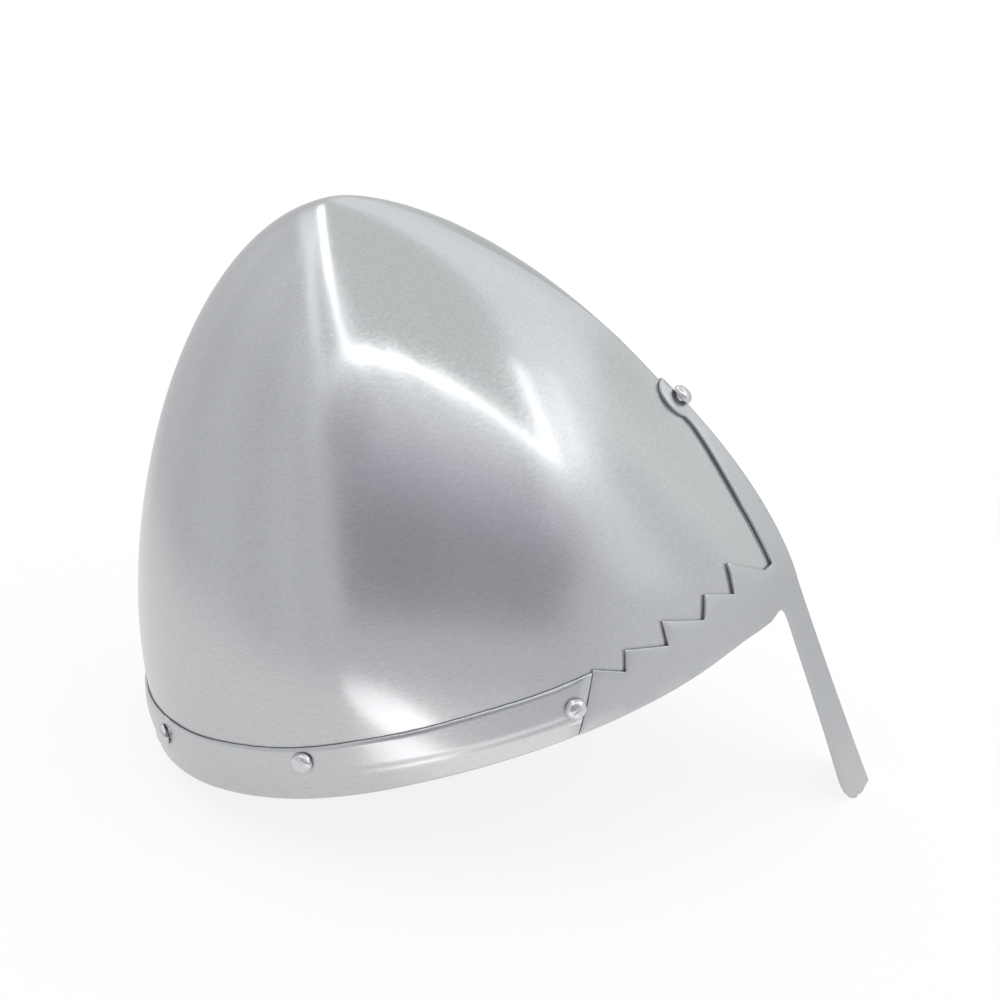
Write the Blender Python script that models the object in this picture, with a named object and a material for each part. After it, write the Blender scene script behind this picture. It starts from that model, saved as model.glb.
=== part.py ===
"""Nasal helmet: keeled one-piece skull, riveted front plate with nasal guard, plain rear band,
leather liner with petals and drawcord, and a buckled chin strap.

Frame: origin on the flat edge of the rim at the middle of the back, +Z up as worn, the face looks
along -Y, the wearer's right is -X. Dimensions below are in millimetres; the model is in metres.
The builders work from the centre of the rim plane, and the last step moves all to the origin.
"""
import math

import bmesh
import bpy
import numpy as np
from mathutils import Matrix, Vector
from mathutils.geometry import delaunay_2d_cdt

MM = 0.001

# ---- driving dimensions (mm) -------------------------------------------------
HALF_WIDTH = 96.8        # rim half width at the outer faces
FRONT = 142.4            # rim plane centre to the keel
REAR = 90.7              # rim plane centre to the back
HEIGHT = 168.0           # rim plane to the crown
APEX_Y = -15.2           # crown sits a little forward of the centre
KEEL_RIM, KEEL_MID = 10.0, 13.0   # how far the keel stands out of the oval, at rim and at mid height
KEEL_WIDTH = 19.0
KEEL_FADE = (40.0, 165.0)         # heights between which the keel dies into the dome
SHEET = 1.6              # steel sheet
GAP = 0.35               # working gap between sheets
STEP_IN = SHEET + GAP    # the skull is set in where the plates cover it
NASAL_RAKE, NASAL_CURVE = 0.108, 0.0002

BAND_TOP = 18.8
BUTT_LOW, BUTT_HIGH = 117.6, 106.4   # girth position of the band's end at z = 0 and at the band's top
LAP = 9.0                # hidden tongue of the front plate under the band's end
LAP_SHEET = 0.6

HEAD_R, HEAD_H = 3.6, 2.7            # rivet dome
SHANK_R, HOLE_R = 1.8, 2.15
TAIL_R, TAIL_H = 3.0, 1.3
ROVE_R, ROVE_T = 4.6, 1.0
RIVET_FRONT = (116.4, 9.9)           # girth position, height
RIVET_SIDE = (207.9, 14.2)
RIVET_REAR = (277.0, 12.5)
RIVET_TOP_Z = 76.0

LINER_Z = (3.0, 24.0)
LINER_T = 1.8
PETALS = 8
PETAL_T = 1.4
STRAP_T = 2.0
STRAP_HALF = 8.0
STRAP_Z = 14.2
LONG_STRAP = 205.0
SHORT_STRAP = 78.0
BUCKLE_WIRE = 1.3
LOOP_IN, LOOP_OUT = 1.65, 3.1
KEEPER_AT = 54.0


# ---- colours -----------------------------------------------------------------
def material(name, colour, roughness, metallic):
    m = bpy.data.materials.new(name)
    m.use_nodes = True
    b = m.node_tree.nodes["Principled BSDF"]
    b.inputs["Base Color"].default_value = (*colour, 1.0)
    b.inputs["Roughness"].default_value = roughness
    b.inputs["Metallic"].default_value = metallic
    m.diffuse_color = (*colour, 1.0)
    return m


STEEL = dict(colour=(0.56, 0.565, 0.58), roughness=0.30, metallic=1.0)
BRIGHT = dict(colour=(0.66, 0.66, 0.67), roughness=0.22, metallic=1.0)
LEATHER = dict(colour=(0.36, 0.20, 0.10), roughness=0.62, metallic=0.0)
STRAP = dict(colour=(0.24, 0.12, 0.06), roughness=0.55, metallic=0.0)
CORD = dict(colour=(0.50, 0.38, 0.24), roughness=0.8, metallic=0.0)
BRASS = dict(colour=(0.72, 0.55, 0.28), roughness=0.28, metallic=1.0)


# ---- the helmet's surface ----------------------------------------------------
def smooth(x, lo, hi):
    u = np.clip((np.asarray(x, float) - lo) / (hi - lo), 0, 1)
    return u * u * (3 - 2 * u)


def section(z):
    """Half width, front, rear, centre, keel height and roundness of the plan oval at height z."""
    u = np.clip(np.asarray(z, float) / HEIGHT, 0, 1)
    w = HALF_WIDTH * np.clip(1 - u ** 2.2, 0, 1) ** 0.60
    f = FRONT * np.clip(1 - u ** 1.55, 0, 1) ** 0.71
    b = REAR * np.clip(1 - u ** 1.7, 0, 1) ** 0.50
    yc = APEX_Y * u ** 1.5
    k = (KEEL_RIM + (KEEL_MID - KEEL_RIM) * smooth(z, 0, 70)) * (1 - smooth(z, *KEEL_FADE))
    return w, f, b, yc, k, 1.85 + 0.15 * u


def oval(t, z):
    """Point of the plan oval at height z: t runs from 1 at the keel through 0 at the side to -1 at the back."""
    w, f, b, yc, k, p = section(z)
    t = np.asarray(t, float)
    tf = np.clip(t, 0, 1)
    x = np.where(t < 0, w * np.sqrt(np.clip(1 - t * t, 0, 1)), w * np.clip(1 - tf ** 2.04, 0, 1) ** (1 / p))
    k = np.minimum(k, 0.35 * f)
    ridge = k * (np.exp(-x / KEEL_WIDTH) - np.exp(-w / KEEL_WIDTH)) * np.where(tf > 0, 1, 0)
    return x, yc + np.where(t < 0, -t * b, -tf * (f - k) - ridge)


_t = np.concatenate([np.sin(np.linspace(math.pi / 2, 0, 1500)), -np.sin(np.linspace(0, math.pi / 2, 900))[1:]])
_x, _y = oval(_t, np.zeros_like(_t))
_s = np.concatenate([[0], np.cumsum(np.hypot(np.diff(_x), np.diff(_y)))])
HALF_GIRTH = float(_s[-1])


def envelope(s, z):
    x, y = oval(np.interp(s, _s, _t), np.maximum(z, 0))
    d = np.minimum(z, 0)
    return np.stack([x, y + NASAL_RAKE * d - NASAL_CURVE * d * d, z], -1)


def shell(s, z, off=0.0):
    """Point `off` outside the skull's outer face. s is the distance along the rim from the keel,
    positive on the wearer's right; z is the height. Below the rim the keel carries on as the nasal."""
    s, z, off = np.broadcast_arrays(np.asarray(s, float), np.asarray(z, float), np.asarray(off, float))
    sgn = np.where(s < 0, -1.0, 1.0)
    a = np.abs(s)
    wrap = a > HALF_GIRTH
    sgn = np.where(wrap, -sgn, sgn)
    a = np.where(wrap, 2 * HALF_GIRTH - a, a)
    p = envelope(a, z)
    h = 0.4
    back = a + h > HALF_GIRTH
    ds = (envelope(np.where(back, a - h, a + h), z) - p) * np.where(back, -1.0, 1.0)[..., None]
    top = z + h > HEIGHT
    dz = (envelope(a, np.where(top, z - h, z + h)) - p) * np.where(top, -1.0, 1.0)[..., None]
    n = np.cross(ds, dz)
    n /= np.maximum(np.linalg.norm(n, axis=-1, keepdims=True), 1e-9)
    mid = (a < 1e-6) | (a > HALF_GIRTH - 1e-6)
    m = np.maximum(np.hypot(n[..., 1], n[..., 2]), 1e-6)
    n = np.where(mid[..., None], np.stack([0 * m, n[..., 1], n[..., 2]], -1) / (m ** 2)[..., None], n)
    rim = 1 - np.exp(-(np.maximum(z, 0) / 30.0) ** 2)
    keel = 1 - np.exp(-(a / 28.0) ** 2) * (1 - smooth(z, 80, 112))
    p = p + n * (off - STEP_IN * (1 - rim * keel))[..., None]
    x = np.where(mid, 0.0, p[..., 0])
    return np.stack([-sgn * x, p[..., 1], p[..., 2]], -1)


def skull_normal(s, z):
    a, b = shell(s, z, 0.0), shell(s, z, 1.0)
    n = Vector(b - a)
    return Vector(a), n.normalized()


# ---- building blocks ---------------------------------------------------------
def add_object(name, verts, faces, look, origin=None, sharp=35.0):
    me = bpy.data.meshes.new(name)
    o = Vector(origin) if origin is not None else Vector((0, 0, 0))
    me.from_pydata([tuple((Vector(v) - o) * MM) for v in verts], [], faces)
    me.update()
    bm = bmesh.new()
    bm.from_mesh(me)
    bmesh.ops.remove_doubles(bm, verts=bm.verts, dist=1e-7)
    bmesh.ops.recalc_face_normals(bm, faces=bm.faces)
    bm.to_mesh(me)
    bm.free()
    me.shade_smooth()
    me.set_sharp_from_angle(angle=math.radians(sharp))
    ob = bpy.data.objects.new(name, me)
    ob.location = o * MM
    me.materials.append(material(name, **look))
    bpy.context.collection.objects.link(ob)
    return ob


def inside(pt, poly):
    x, y = pt
    hit = False
    for i in range(len(poly)):
        x0, y0 = poly[i]
        x1, y1 = poly[(i + 1) % len(poly)]
        if (y0 > y) != (y1 > y) and x < (x1 - x0) * (y - y0) / (y1 - y0) + x0:
            hit = not hit
    return hit


def resample(poly, step):
    out = []
    for i in range(len(poly)):
        a, b = np.array(poly[i]), np.array(poly[(i + 1) % len(poly)])
        n = max(1, int(math.ceil(np.linalg.norm(b - a) / step)))
        out += [tuple(a + (b - a) * k / n) for k in range(n)]
    return out


def circle(c, r, n, scale=(1.0, 1.0), turn=0.0):
    return [(c[0] + scale[0] * r * math.cos(2 * math.pi * (k + turn) / n),
             c[1] + scale[1] * r * math.sin(2 * math.pi * (k + turn) / n)) for k in range(n)]


def sheet(name, outline, holes, lines, fill, low, high, surface, look, step=8.0, origin=None):
    """A sheet of material: the region `outline` minus `holes` of the (s, z) plane, wrapped on to
    `surface` between the offsets low(s, z) and high(s, z). `lines` are creases kept as edges."""
    ring = resample(outline, step)
    verts, edges = [], []

    def loop(pts, closed=True):
        k = len(verts)
        verts.extend(pts)
        for i in range(len(pts) - (0 if closed else 1)):
            edges.append((k + i, k + (i + 1) % len(pts)))

    loop(ring)
    for h in holes:
        loop(h)
    for ln in lines:
        loop(ln, closed=False)
    fixed = np.array(verts)
    for p in fill:
        if not inside(p, outline) or any(inside(p, h) for h in holes):
            continue
        if np.min(np.hypot(fixed[:, 0] - p[0], fixed[:, 1] - p[1])) > 2.6:
            verts.append(p)
    v2, _, tris, *_ = delaunay_2d_cdt([Vector(v) for v in verts], edges, [], 0, 1e-5)
    keep = []
    for t in tris:
        c = sum((v2[i] for i in t), Vector((0, 0))) / 3
        if inside(c, outline) and not any(inside(c, h) for h in holes):
            keep.append(tuple(t))
    s = np.array([v[0] for v in v2])
    z = np.array([v[1] for v in v2])
    n = len(v2)
    top = surface(s, z, np.array([high(a, b) for a, b in zip(s, z)]))
    bot = surface(s, z, np.array([low(a, b) for a, b in zip(s, z)]))
    count = {}
    for t in keep:
        for i in range(3):
            e = (t[i], t[(i + 1) % 3])
            count[e] = count.get(e, 0) + 1
    faces = [t for t in keep] + [tuple(i + n for i in reversed(t)) for t in keep]
    for (a, b) in count:
        if (b, a) not in count:
            faces.append((b, a, a + n, b + n))
    used = sorted({i for f in faces for i in f})
    idx = {k: j for j, k in enumerate(used)}
    pts = np.concatenate([top, bot])[used]
    return add_object(name, pts, [tuple(idx[i] for i in f) for f in faces], look, origin)


def prism(name, outline, holes, frame, low, high, look, origin=None, fill=()):
    """A flat plate: outline minus holes in the (u, v) plane of `frame`, from w = low to w = high."""
    c, ux, uy, uz = frame

    def place(s, z, off):
        return np.array([tuple(c + ux * a + uy * b + uz * w) for a, b, w in zip(s, z, off)])

    return sheet(name, outline, holes, [], fill, lambda a, b: low, lambda a, b: high, place, look, 1e9, origin)


def turned(name, profile, centre, axis, n, look, origin=None):
    """Solid of revolution about `axis` at `centre`; profile is (radius, height) from end to end."""
    q = Vector((0, 0, 1)).rotation_difference(axis)
    verts, faces, rings = [], [], []
    for r, h in profile:
        if r < 1e-9:
            rings.append([len(verts)])
            verts.append(centre + axis * h)
        else:
            rings.append(list(range(len(verts), len(verts) + n)))
            for k in range(n):
                a = 2 * math.pi * k / n
                verts.append(centre + q @ Vector((r * math.cos(a), r * math.sin(a), h)))
    loops = list(zip(rings, rings[1:]))
    if len(rings[0]) > 1 and len(rings[-1]) > 1:
        loops.append((rings[-1], rings[0]))
    for a, b in loops:
        for k in range(n):
            j = (k + 1) % n
            if len(a) == 1:
                faces.append((a[0], b[j], b[k]))
            elif len(b) == 1:
                faces.append((a[k], a[j], b[0]))
            else:
                faces.append((a[k], a[j], b[j], b[k]))
    return add_object(name, verts, faces, look, origin)


def swept(name, path, radius, sides, up, look, origin=None):
    """Round bar along a closed path; `up` gives a rough normal at each point."""
    n = len(path)
    verts, faces = [], []
    for i in range(n):
        t = (path[(i + 1) % n] - path[i - 1]).normalized()
        a = (up[i] - t * up[i].dot(t)).normalized()
        b = t.cross(a)
        for k in range(sides):
            w = 2 * math.pi * (k + 0.5) / sides
            verts.append(path[i] + (a * math.cos(w) + b * math.sin(w)) * radius)
    for i in range(n):
        j = (i + 1) % n
        for k in range(sides):
            m = (k + 1) % sides
            faces.append((i * sides + k, i * sides + m, j * sides + m, j * sides + k))
    return add_object(name, verts, faces, look, origin, sharp=60)


# ---- skull -------------------------------------------------------------------
def columns():
    half = [0.0, 5.0, 12.0, 21.0, 32.0]
    rest = HALF_GIRTH - half[-1]
    n = 23
    half += [half[4] + rest * (k + 1) / n for k in range(n)]
    return half + [2 * HALF_GIRTH - s for s in reversed(half[1:-1])]


def build_skull():
    cols = np.array(columns())
    rows = [0.0, 10, 20, 33, 48, 64, 80, 96, 112, 127, 140, 151, 159.5, 165.2]
    nc, nr = len(cols), len(rows)
    verts = []
    for off in (0.0, -SHEET):
        for z in rows:
            verts += [tuple(p) for p in shell(cols, np.full(nc, z), off)]
        verts.append((0.0, APEX_Y, HEIGHT + off))
    faces = []
    side = nc * nr + 1
    for L in (0, 1):
        o = L * side
        for r in range(nr - 1):
            for c in range(nc):
                d = (c + 1) % nc
                f = (o + r * nc + c, o + r * nc + d, o + (r + 1) * nc + d, o + (r + 1) * nc + c)
                faces.append(f if L == 0 else f[::-1])
        for c in range(nc):
            d = (c + 1) % nc
            f = (o + (nr - 1) * nc + c, o + (nr - 1) * nc + d, o + nr * nc)
            faces.append(f if L == 0 else f[::-1])
    for c in range(nc):
        d = (c + 1) % nc
        faces.append((d, c, side + c, side + d))
    ob = add_object("skull", verts, faces, STEEL, sharp=50)
    for i, (s, z) in enumerate(all_rivets()):
        p, n = skull_normal(s, z)
        bpy.ops.mesh.primitive_cylinder_add(vertices=14, radius=HOLE_R * MM, depth=9 * MM, location=p * MM)
        cut = bpy.context.object
        cut.name = f"cutter_{i}"
        cut.rotation_mode = "QUATERNION"
        cut.rotation_quaternion = Vector((0, 0, 1)).rotation_difference(n)
        cut.hide_render = True
        cut.display_type = "WIRE"
        mod = ob.modifiers.new(f"hole_{i}", "BOOLEAN")
        mod.operation, mod.solver, mod.object = "DIFFERENCE", "EXACT", cut


def all_rivets():
    out = [(0.0, RIVET_TOP_Z)]
    for s, z in (RIVET_FRONT, RIVET_SIDE, RIVET_REAR):
        out += [(s, z), (-s, z)]
    return out


# ---- rear band ---------------------------------------------------------------
def butt(z):
    return BUTT_LOW + (BUTT_HIGH - BUTT_LOW) * z / BAND_TOP


SLANT = math.cos(math.atan2(BUTT_LOW - BUTT_HIGH, BAND_TOP))


def from_butt(s, z):
    """Distance behind the band's end, measured square to it."""
    a = s if s <= HALF_GIRTH else 2 * HALF_GIRTH - s
    return (abs(a) - butt(z)) * SLANT


def crease_z(s):
    a = s if s <= HALF_GIRTH else 2 * HALF_GIRTH - s
    return 7.4 + 4.6 * float(smooth(a, 120, 300))


def crease(s, z):
    zc = crease_z(s)
    k = z / zc if z < zc else (BAND_TOP - z) / (BAND_TOP - zc)
    return 0.75 * min(max(k, 0.0), 1.0) * float(smooth(from_butt(s, z), 0.0, 4.0))


def build_band():
    full = 2 * HALF_GIRTH
    n = 48
    low = [(butt(0) + (full - 2 * butt(0)) * k / n, 0.0) for k in range(n + 1)]
    high = [(butt(BAND_TOP) + (full - 2 * butt(BAND_TOP)) * k / n, BAND_TOP) for k in range(n, -1, -1)]
    outline = low + high
    ds = 1 / SLANT

    def at(dist, z, right=True):
        s = butt(z) + dist * ds
        return (s if right else full - s, z)

    lines = []
    for right in (True, False):
        for d in (LAP + 0.4, LAP + 0.8):
            lines.append([at(d, z, right) for z in (0.0, 4.5, crease_z(130.0), 13.5, BAND_TOP)])
    a, b = butt(8.0) + 15.0, full - butt(8.0) - 15.0
    m = 44
    lines.append([(a + (b - a) * k / m, crease_z(a + (b - a) * k / m)) for k in range(m + 1)])
    holes = []
    for s, z in (RIVET_FRONT, RIVET_SIDE, RIVET_REAR):
        holes += [circle((s, z), HOLE_R, 10), circle((full - s, z), HOLE_R, 10)]

    def lap(s, z):
        return float(np.clip((from_butt(s, z) - (LAP + 0.4)) / 0.4, 0, 1))

    def lowf(s, z):
        k = lap(s, z)
        return (GAP + crease(s, z)) * k + (GAP + LAP_SHEET + 0.35 + crease(s, z)) * (1 - k)

    return sheet("rear_band", outline, holes, lines, [], lowf,
                 lambda s, z: GAP + SHEET + crease(s, z), shell, STEEL, step=15.0)


# ---- front plate -------------------------------------------------------------
TEETH = [(95.5, 14.3), (92.6, 21.5), (77.4, 15.7), (75.4, 24.2), (59.2, 16.1), (55.2, 23.9),
         (41.2, 16.4), (36.9, 26.4), (19.4, 14.0), (12.6, 13.8)]
STRIP_EDGE = [(12.6, 23.6), (11.5, 36.4), (9.3, 48.3), (7.0, 59.7), (5.9, 66.8)]
NASAL_EDGE = [(4.5, -84.2), (8.5, -84.6), (12.4, -83.6), (15.8, -81.4), (18.2, -77.8), (19.0, -73.0), (17.9, -62.0),
              (16.7, -50.0), (15.8, -36.0), (15.3, -20.0), (14.9, -8.5), (15.3, -5.4), (17.0, -3.0), (20.0, -1.6),
              (25.0, -0.6), (31.0, 0.0)]
DISC_R = 8.7


def girth_at(z, x):
    """Girth position at height z of the plate's point that lies x to the side of the mirror plane."""
    s = np.linspace(0, 40, 801)
    xs = -shell(s, np.full(801, z), GAP + SHEET / 2)[:, 0]
    k = int(np.max(np.nonzero(xs <= 0)[0]))
    return float(np.interp(x, xs[k:], s[k:]))


def disc_edge():
    a, b = shell(0.0, RIVET_TOP_Z - 5, 0.0), shell(0.0, RIVET_TOP_Z + 5, 0.0)
    rise = 10.0 / float(np.linalg.norm(b - a))
    out = []
    for k in range(10):
        w = math.radians(-50 + 140 * k / 10)
        z = RIVET_TOP_Z + DISC_R * math.sin(w) * rise
        out.append((girth_at(z, 0.78 * DISC_R * math.cos(w)), z))
    return out


def front_outline():
    right = [p for p in NASAL_EDGE]
    s = 39.0
    while s < butt(0) - 4:
        right.append((s, 0.0))
        s += 9.0
    g = 0.35 / SLANT
    right += [(butt(0) - g, 0.0), (butt(0.8) - g, 0.8)]
    right += [(butt(0.8) + LAP / SLANT, 0.8), (butt(BAND_TOP - 0.8) + LAP / SLANT, BAND_TOP - 0.8)]
    right += [(butt(BAND_TOP - 0.8) - g, BAND_TOP - 0.8), (butt(BAND_TOP) - g - 0.4, BAND_TOP + 0.9)]
    right += TEETH + STRIP_EDGE + disc_edge()
    a, b = shell(0.0, RIVET_TOP_Z - 5, 0.0), shell(0.0, RIVET_TOP_Z + 5, 0.0)
    ztop = RIVET_TOP_Z + DISC_R * 10.0 / float(np.linalg.norm(b - a))
    left = [(-x, y) for x, y in reversed(right)]
    return [(0.0, -83.6)] + right + [(0.0, ztop)] + left, ztop


def build_front():
    outline, ztop = front_outline()
    holes = []
    for s, z in (RIVET_FRONT,):
        holes += [circle((s, z), HOLE_R, 10), circle((-s, z), HOLE_R, 10)]
    hole = []
    for k in range(12):
        w = 2 * math.pi * (k + 0.5) / 12
        z = RIVET_TOP_Z + (HOLE_R + 0.3) * math.sin(w) * 0.88
        x = (HOLE_R + 0.9) * math.cos(w)     # the fold leans the metal away from the rivet
        hole.append((math.copysign(girth_at(z, abs(x)), x), z))
    holes.append(hole)
    lines = []
    zs = [-76, -68, -58, -48, -38, -28, -18, -9, 0, 8, 16, 24, 33, 42, 51, 60, 67, RIVET_TOP_Z - HOLE_R - 1.2]
    lines.append([(0.0, float(z)) for z in zs])
    g = 0.3 / SLANT
    for side in (1, -1):
        lines.append([(side * (butt(z) - g), z) for z in (0.9, 6.0, 12.0, BAND_TOP - 0.9)])
        lines.append([(side * (butt(z) - g * 1.6), z) for z in (0.9, 6.0, 12.0, BAND_TOP - 0.9)])
    fill = []
    for side in (1, -1):
        for z in range(-72, 72, 8):
            fill.append((side * 6.5, float(z)))
        for z in range(-60, 16, 8):
            fill.append((side * 12.0, float(z)))
        s = 24.0
        while s < 104:
            fill += [(side * s, 7.0), (side * (s + 4), 13.5)]
            s += 8.0

    def tongue(s, z):
        if abs(s) < 90:
            return 0.0
        return float(np.clip((from_butt(s, z) + 0.48) / 0.18, 0, 1))

    return sheet("front_plate", outline, holes, lines, fill, lambda s, z: GAP,
                 lambda s, z: GAP + SHEET - (SHEET - LAP_SHEET) * tongue(s, z), shell, STEEL, step=9.0)


# ---- rivets and roves --------------------------------------------------------
def build_rivet(name, s, z, outer, inner):
    """outer and inner are the offsets of the faces the rivet closes on."""
    p, n = skull_normal(s, z)
    hu = outer + 0.3
    dome = [(0.0, hu + HEAD_H)]
    for k in range(1, 5):
        a = math.pi / 2 * k / 4
        dome.append((HEAD_R * math.sin(a), hu + 0.35 + (HEAD_H - 0.35) * math.cos(a)))
    dome.append((HEAD_R * 0.985, hu))
    dome.append((SHANK_R, hu))
    rove_in = inner - 0.5 - ROVE_T
    tail_face = rove_in - 0.3
    dome.append((SHANK_R, tail_face))
    dome.append((TAIL_R, tail_face))
    dome.append((TAIL_R * 0.78, tail_face - TAIL_H * 0.7))
    dome.append((0.0, tail_face - TAIL_H))
    turned(name, dome, p, n, 14, BRIGHT)
    turned(name.replace("rivet", "rove"), [(HOLE_R, inner - 0.5), (ROVE_R, inner - 0.5), (ROVE_R, rove_in), (HOLE_R, rove_in)],
           p, n, 16, STEEL)
    return p, n


# ---- leather lining ----------------------------------------------------------
PETAL_OUT = -SHEET - 0.5
PETAL_IN = PETAL_OUT - PETAL_T
LINER_OUT = PETAL_IN - 0.3
LINER_IN = LINER_OUT - LINER_T


def build_liner():
    full = 2 * HALF_GIRTH
    g = 0.6
    a, b = -HALF_GIRTH + g, HALF_GIRTH - g
    n = 56
    low = [(a + (b - a) * k / n, LINER_Z[0]) for k in range(n + 1)]
    high = [(a + (b - a) * k / n, LINER_Z[1]) for k in range(n, -1, -1)]
    holes = [circle((s, z), HOLE_R, 10) for s, z in all_rivets()[1:]]
    sheet("liner_band", low + high, holes, [], [], lambda s, z: LINER_IN, lambda s, z: LINER_OUT,
          shell, LEATHER, step=30.0)


RING_Z, RING_SCALE = 134.0, 0.29
BASE_Z = 24.0


def cap(s, phi, off=0.0):
    """The lining's own surface above the band: phi is 0 at the band and 90 at the drawn-up ring."""
    s, phi, off = np.broadcast_arrays(np.asarray(s, float), np.asarray(phi, float), np.asarray(off, float))

    def base(s, phi):
        phi = np.maximum(phi, 0)
        z = BASE_Z + (RING_Z - BASE_Z) * np.sin(np.radians(phi))
        k = RING_SCALE + (1 - RING_SCALE) * np.cos(np.radians(phi)) ** 1.1
        q = shell(s, z, (PETAL_OUT + PETAL_IN) / 2)
        yc = APEX_Y * (z / HEIGHT) ** 1.5
        return np.stack([q[..., 0] * k, yc + (q[..., 1] - yc) * k, q[..., 2]], -1)

    p = base(s, phi)
    ds = base(s + 0.5, phi) - base(s - 0.5, phi)
    dp = base(s, phi + 0.5) - base(s, np.maximum(phi - 0.5, 0.0))
    n = np.cross(dp, ds)
    n /= np.maximum(np.linalg.norm(n, axis=-1, keepdims=True), 1e-9)
    return p + n * off[..., None]


def petal_half(phi):
    """Half width of a petal in girth units at angle phi."""
    pitch = HALF_GIRTH / PETALS
    return pitch * (0.93 - 0.36 * float(smooth(phi, 35, 88)))


HOLE_PHI = 80.0
CORD_R = 1.2
WEAVE = 3.2


def build_petals():
    pitch = 2 * HALF_GIRTH / PETALS
    for i in range(PETALS):
        sc = -HALF_GIRTH + pitch * (i + 0.5)
        below = [-7.0, -3.0]
        phis = [0, 8, 17, 27, 38, 50, 61, 70, 76, 84, 88]
        rows = below + [float(p) for p in phis]
        right = [(petal_half(max(p, 0)), p) for p in rows]
        right[-1] = (right[-1][0] * 0.55, 88.0)
        outline = [(sc + a, p) for a, p in right] + [(sc - a, p) for a, p in reversed(right)]
        # the cord's hole, round on the leather
        q0, q1 = cap(sc - 1.0, HOLE_PHI), cap(sc + 1.0, HOLE_PHI)
        su = 2.0 / float(np.linalg.norm(q1 - q0))
        q0, q1 = cap(sc, HOLE_PHI - 1), cap(sc, HOLE_PHI + 1)
        pu = 2.0 / float(np.linalg.norm(q1 - q0))
        hole = circle((sc, HOLE_PHI), 3.4, 12, scale=(su, pu))
        fill = []
        for p in phis[:-3]:
            for m in (-2, -1, 0, 1, 2):
                if abs(m) < 2 or p < 30:
                    fill.append((sc + m * petal_half(p) / 2.6, float(p)))

        def surface(s, phi, off):
            lo = phi < 0
            below_pts = shell(s, BASE_Z + phi, off + (PETAL_OUT + PETAL_IN) / 2)
            return np.where(lo[..., None], below_pts, cap(s, np.maximum(phi, 0.0), off))

        sheet(f"liner_petal_{i + 1}", outline, [hole], [], fill, lambda s, z: -PETAL_T / 2,
              lambda s, z: PETAL_T / 2, surface, LEATHER, step=12.0)


def build_cord():
    n = 112
    pitch = 2 * HALF_GIRTH / PETALS
    path, up = [], []
    for i in range(n):
        # even spacing round the ring
        s = -HALF_GIRTH + 2 * HALF_GIRTH * i / n
        ph = 2 * math.pi * (s - (-HALF_GIRTH + pitch * 0.5)) / pitch
        off = -WEAVE * math.sin(ph)
        path.append(Vector(cap(s, HOLE_PHI, off)))
        up.append(Vector((0, 0, 1)))
    swept("lining_cord", path, CORD_R, 6, up, CORD)


# ---- chin straps -------------------------------------------------------------
STRAP_OUT = LINER_IN - 1.5


def long_off(d):
    """The long strap lies close to the lining, clear of the rear rivets."""
    return STRAP_OUT - 2.7 * float(smooth(d, 10, 36))


def short_off(d):
    """The short strap lies inside the long one, so its buckle is free."""
    return STRAP_OUT - 11.0 * float(smooth(d, 7, 42))


def long_surface(side):
    def surface(s, z, off):
        out = []
        for d, h, w in zip(s, z, off):
            p = shell(side * (RIVET_SIDE[0] + d), STRAP_Z, long_off(d))
            q = shell(side * (RIVET_SIDE[0] + d), STRAP_Z, long_off(d) - 1.0)
            v = (q - p)
            v[2] = 0.0
            v /= np.linalg.norm(v)
            out.append((p[0] + v[0] * w, p[1] + v[1] * w, STRAP_Z + h))
        return np.array(out)
    return surface


def build_long_strap():
    """Right-hand strap with its row of holes, cut to a point."""
    w = STRAP_HALF
    nose = [(LONG_STRAP - 9, w), (LONG_STRAP - 3, w * 0.55), (LONG_STRAP, 0.0), (LONG_STRAP - 3, -w * 0.55), (LONG_STRAP - 9, -w)]
    heel = [(w * math.cos(math.radians(a)), w * math.sin(math.radians(a))) for a in (-105, -130, -155, 180, 155, 130, 105)]
    heel = [(x, z) for x, z in heel]
    n = 15
    upper = [(LONG_STRAP - 9 - (LONG_STRAP - 9) * k / n, w) for k in range(1, n + 1)]
    lower = [(-0.0 + (LONG_STRAP - 9) * k / n, -w) for k in range(0, n)]
    outline = lower + list(reversed(nose)) + upper + list(reversed(heel))
    p, nrm = skull_normal(RIVET_SIDE[0], RIVET_SIDE[1])
    drop = (p + nrm * (STRAP_OUT - STRAP_T / 2)).z - STRAP_Z     # the rivet leans a little
    holes = [circle((0.0, drop), HOLE_R + 0.35, 14)]
    for k in range(5):
        holes.append(circle((LONG_STRAP - 28.0 - 16.0 * k, 0.0), 1.9, 8))
    sheet("chin_strap_right", outline, holes, [], [], lambda s, z: STRAP_T, lambda s, z: 0.0,
          long_surface(1), STRAP, step=40.0, origin=p)


def buckle_frame_axes():
    """Bar centre and the tangent (away from the rivet), up and inward directions of the left buckle."""
    side = -1
    d = SHORT_STRAP
    p = Vector(shell(side * (RIVET_SIDE[0] + d), STRAP_Z, short_off(d)))
    q = Vector(shell(side * (RIVET_SIDE[0] + d - 3.0), STRAP_Z, short_off(d - 3.0)))
    t = (p - q)
    t.z = 0
    t.normalize()
    inward = Vector((t.y, -t.x, 0.0))
    if inward.dot(Vector((0, 0, 0)) - p) < 0:
        inward = -inward
    bar = p + inward * (STRAP_T / 2)
    bar.z = STRAP_Z
    return bar, t, Vector((0, 0, 1)), inward


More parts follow.
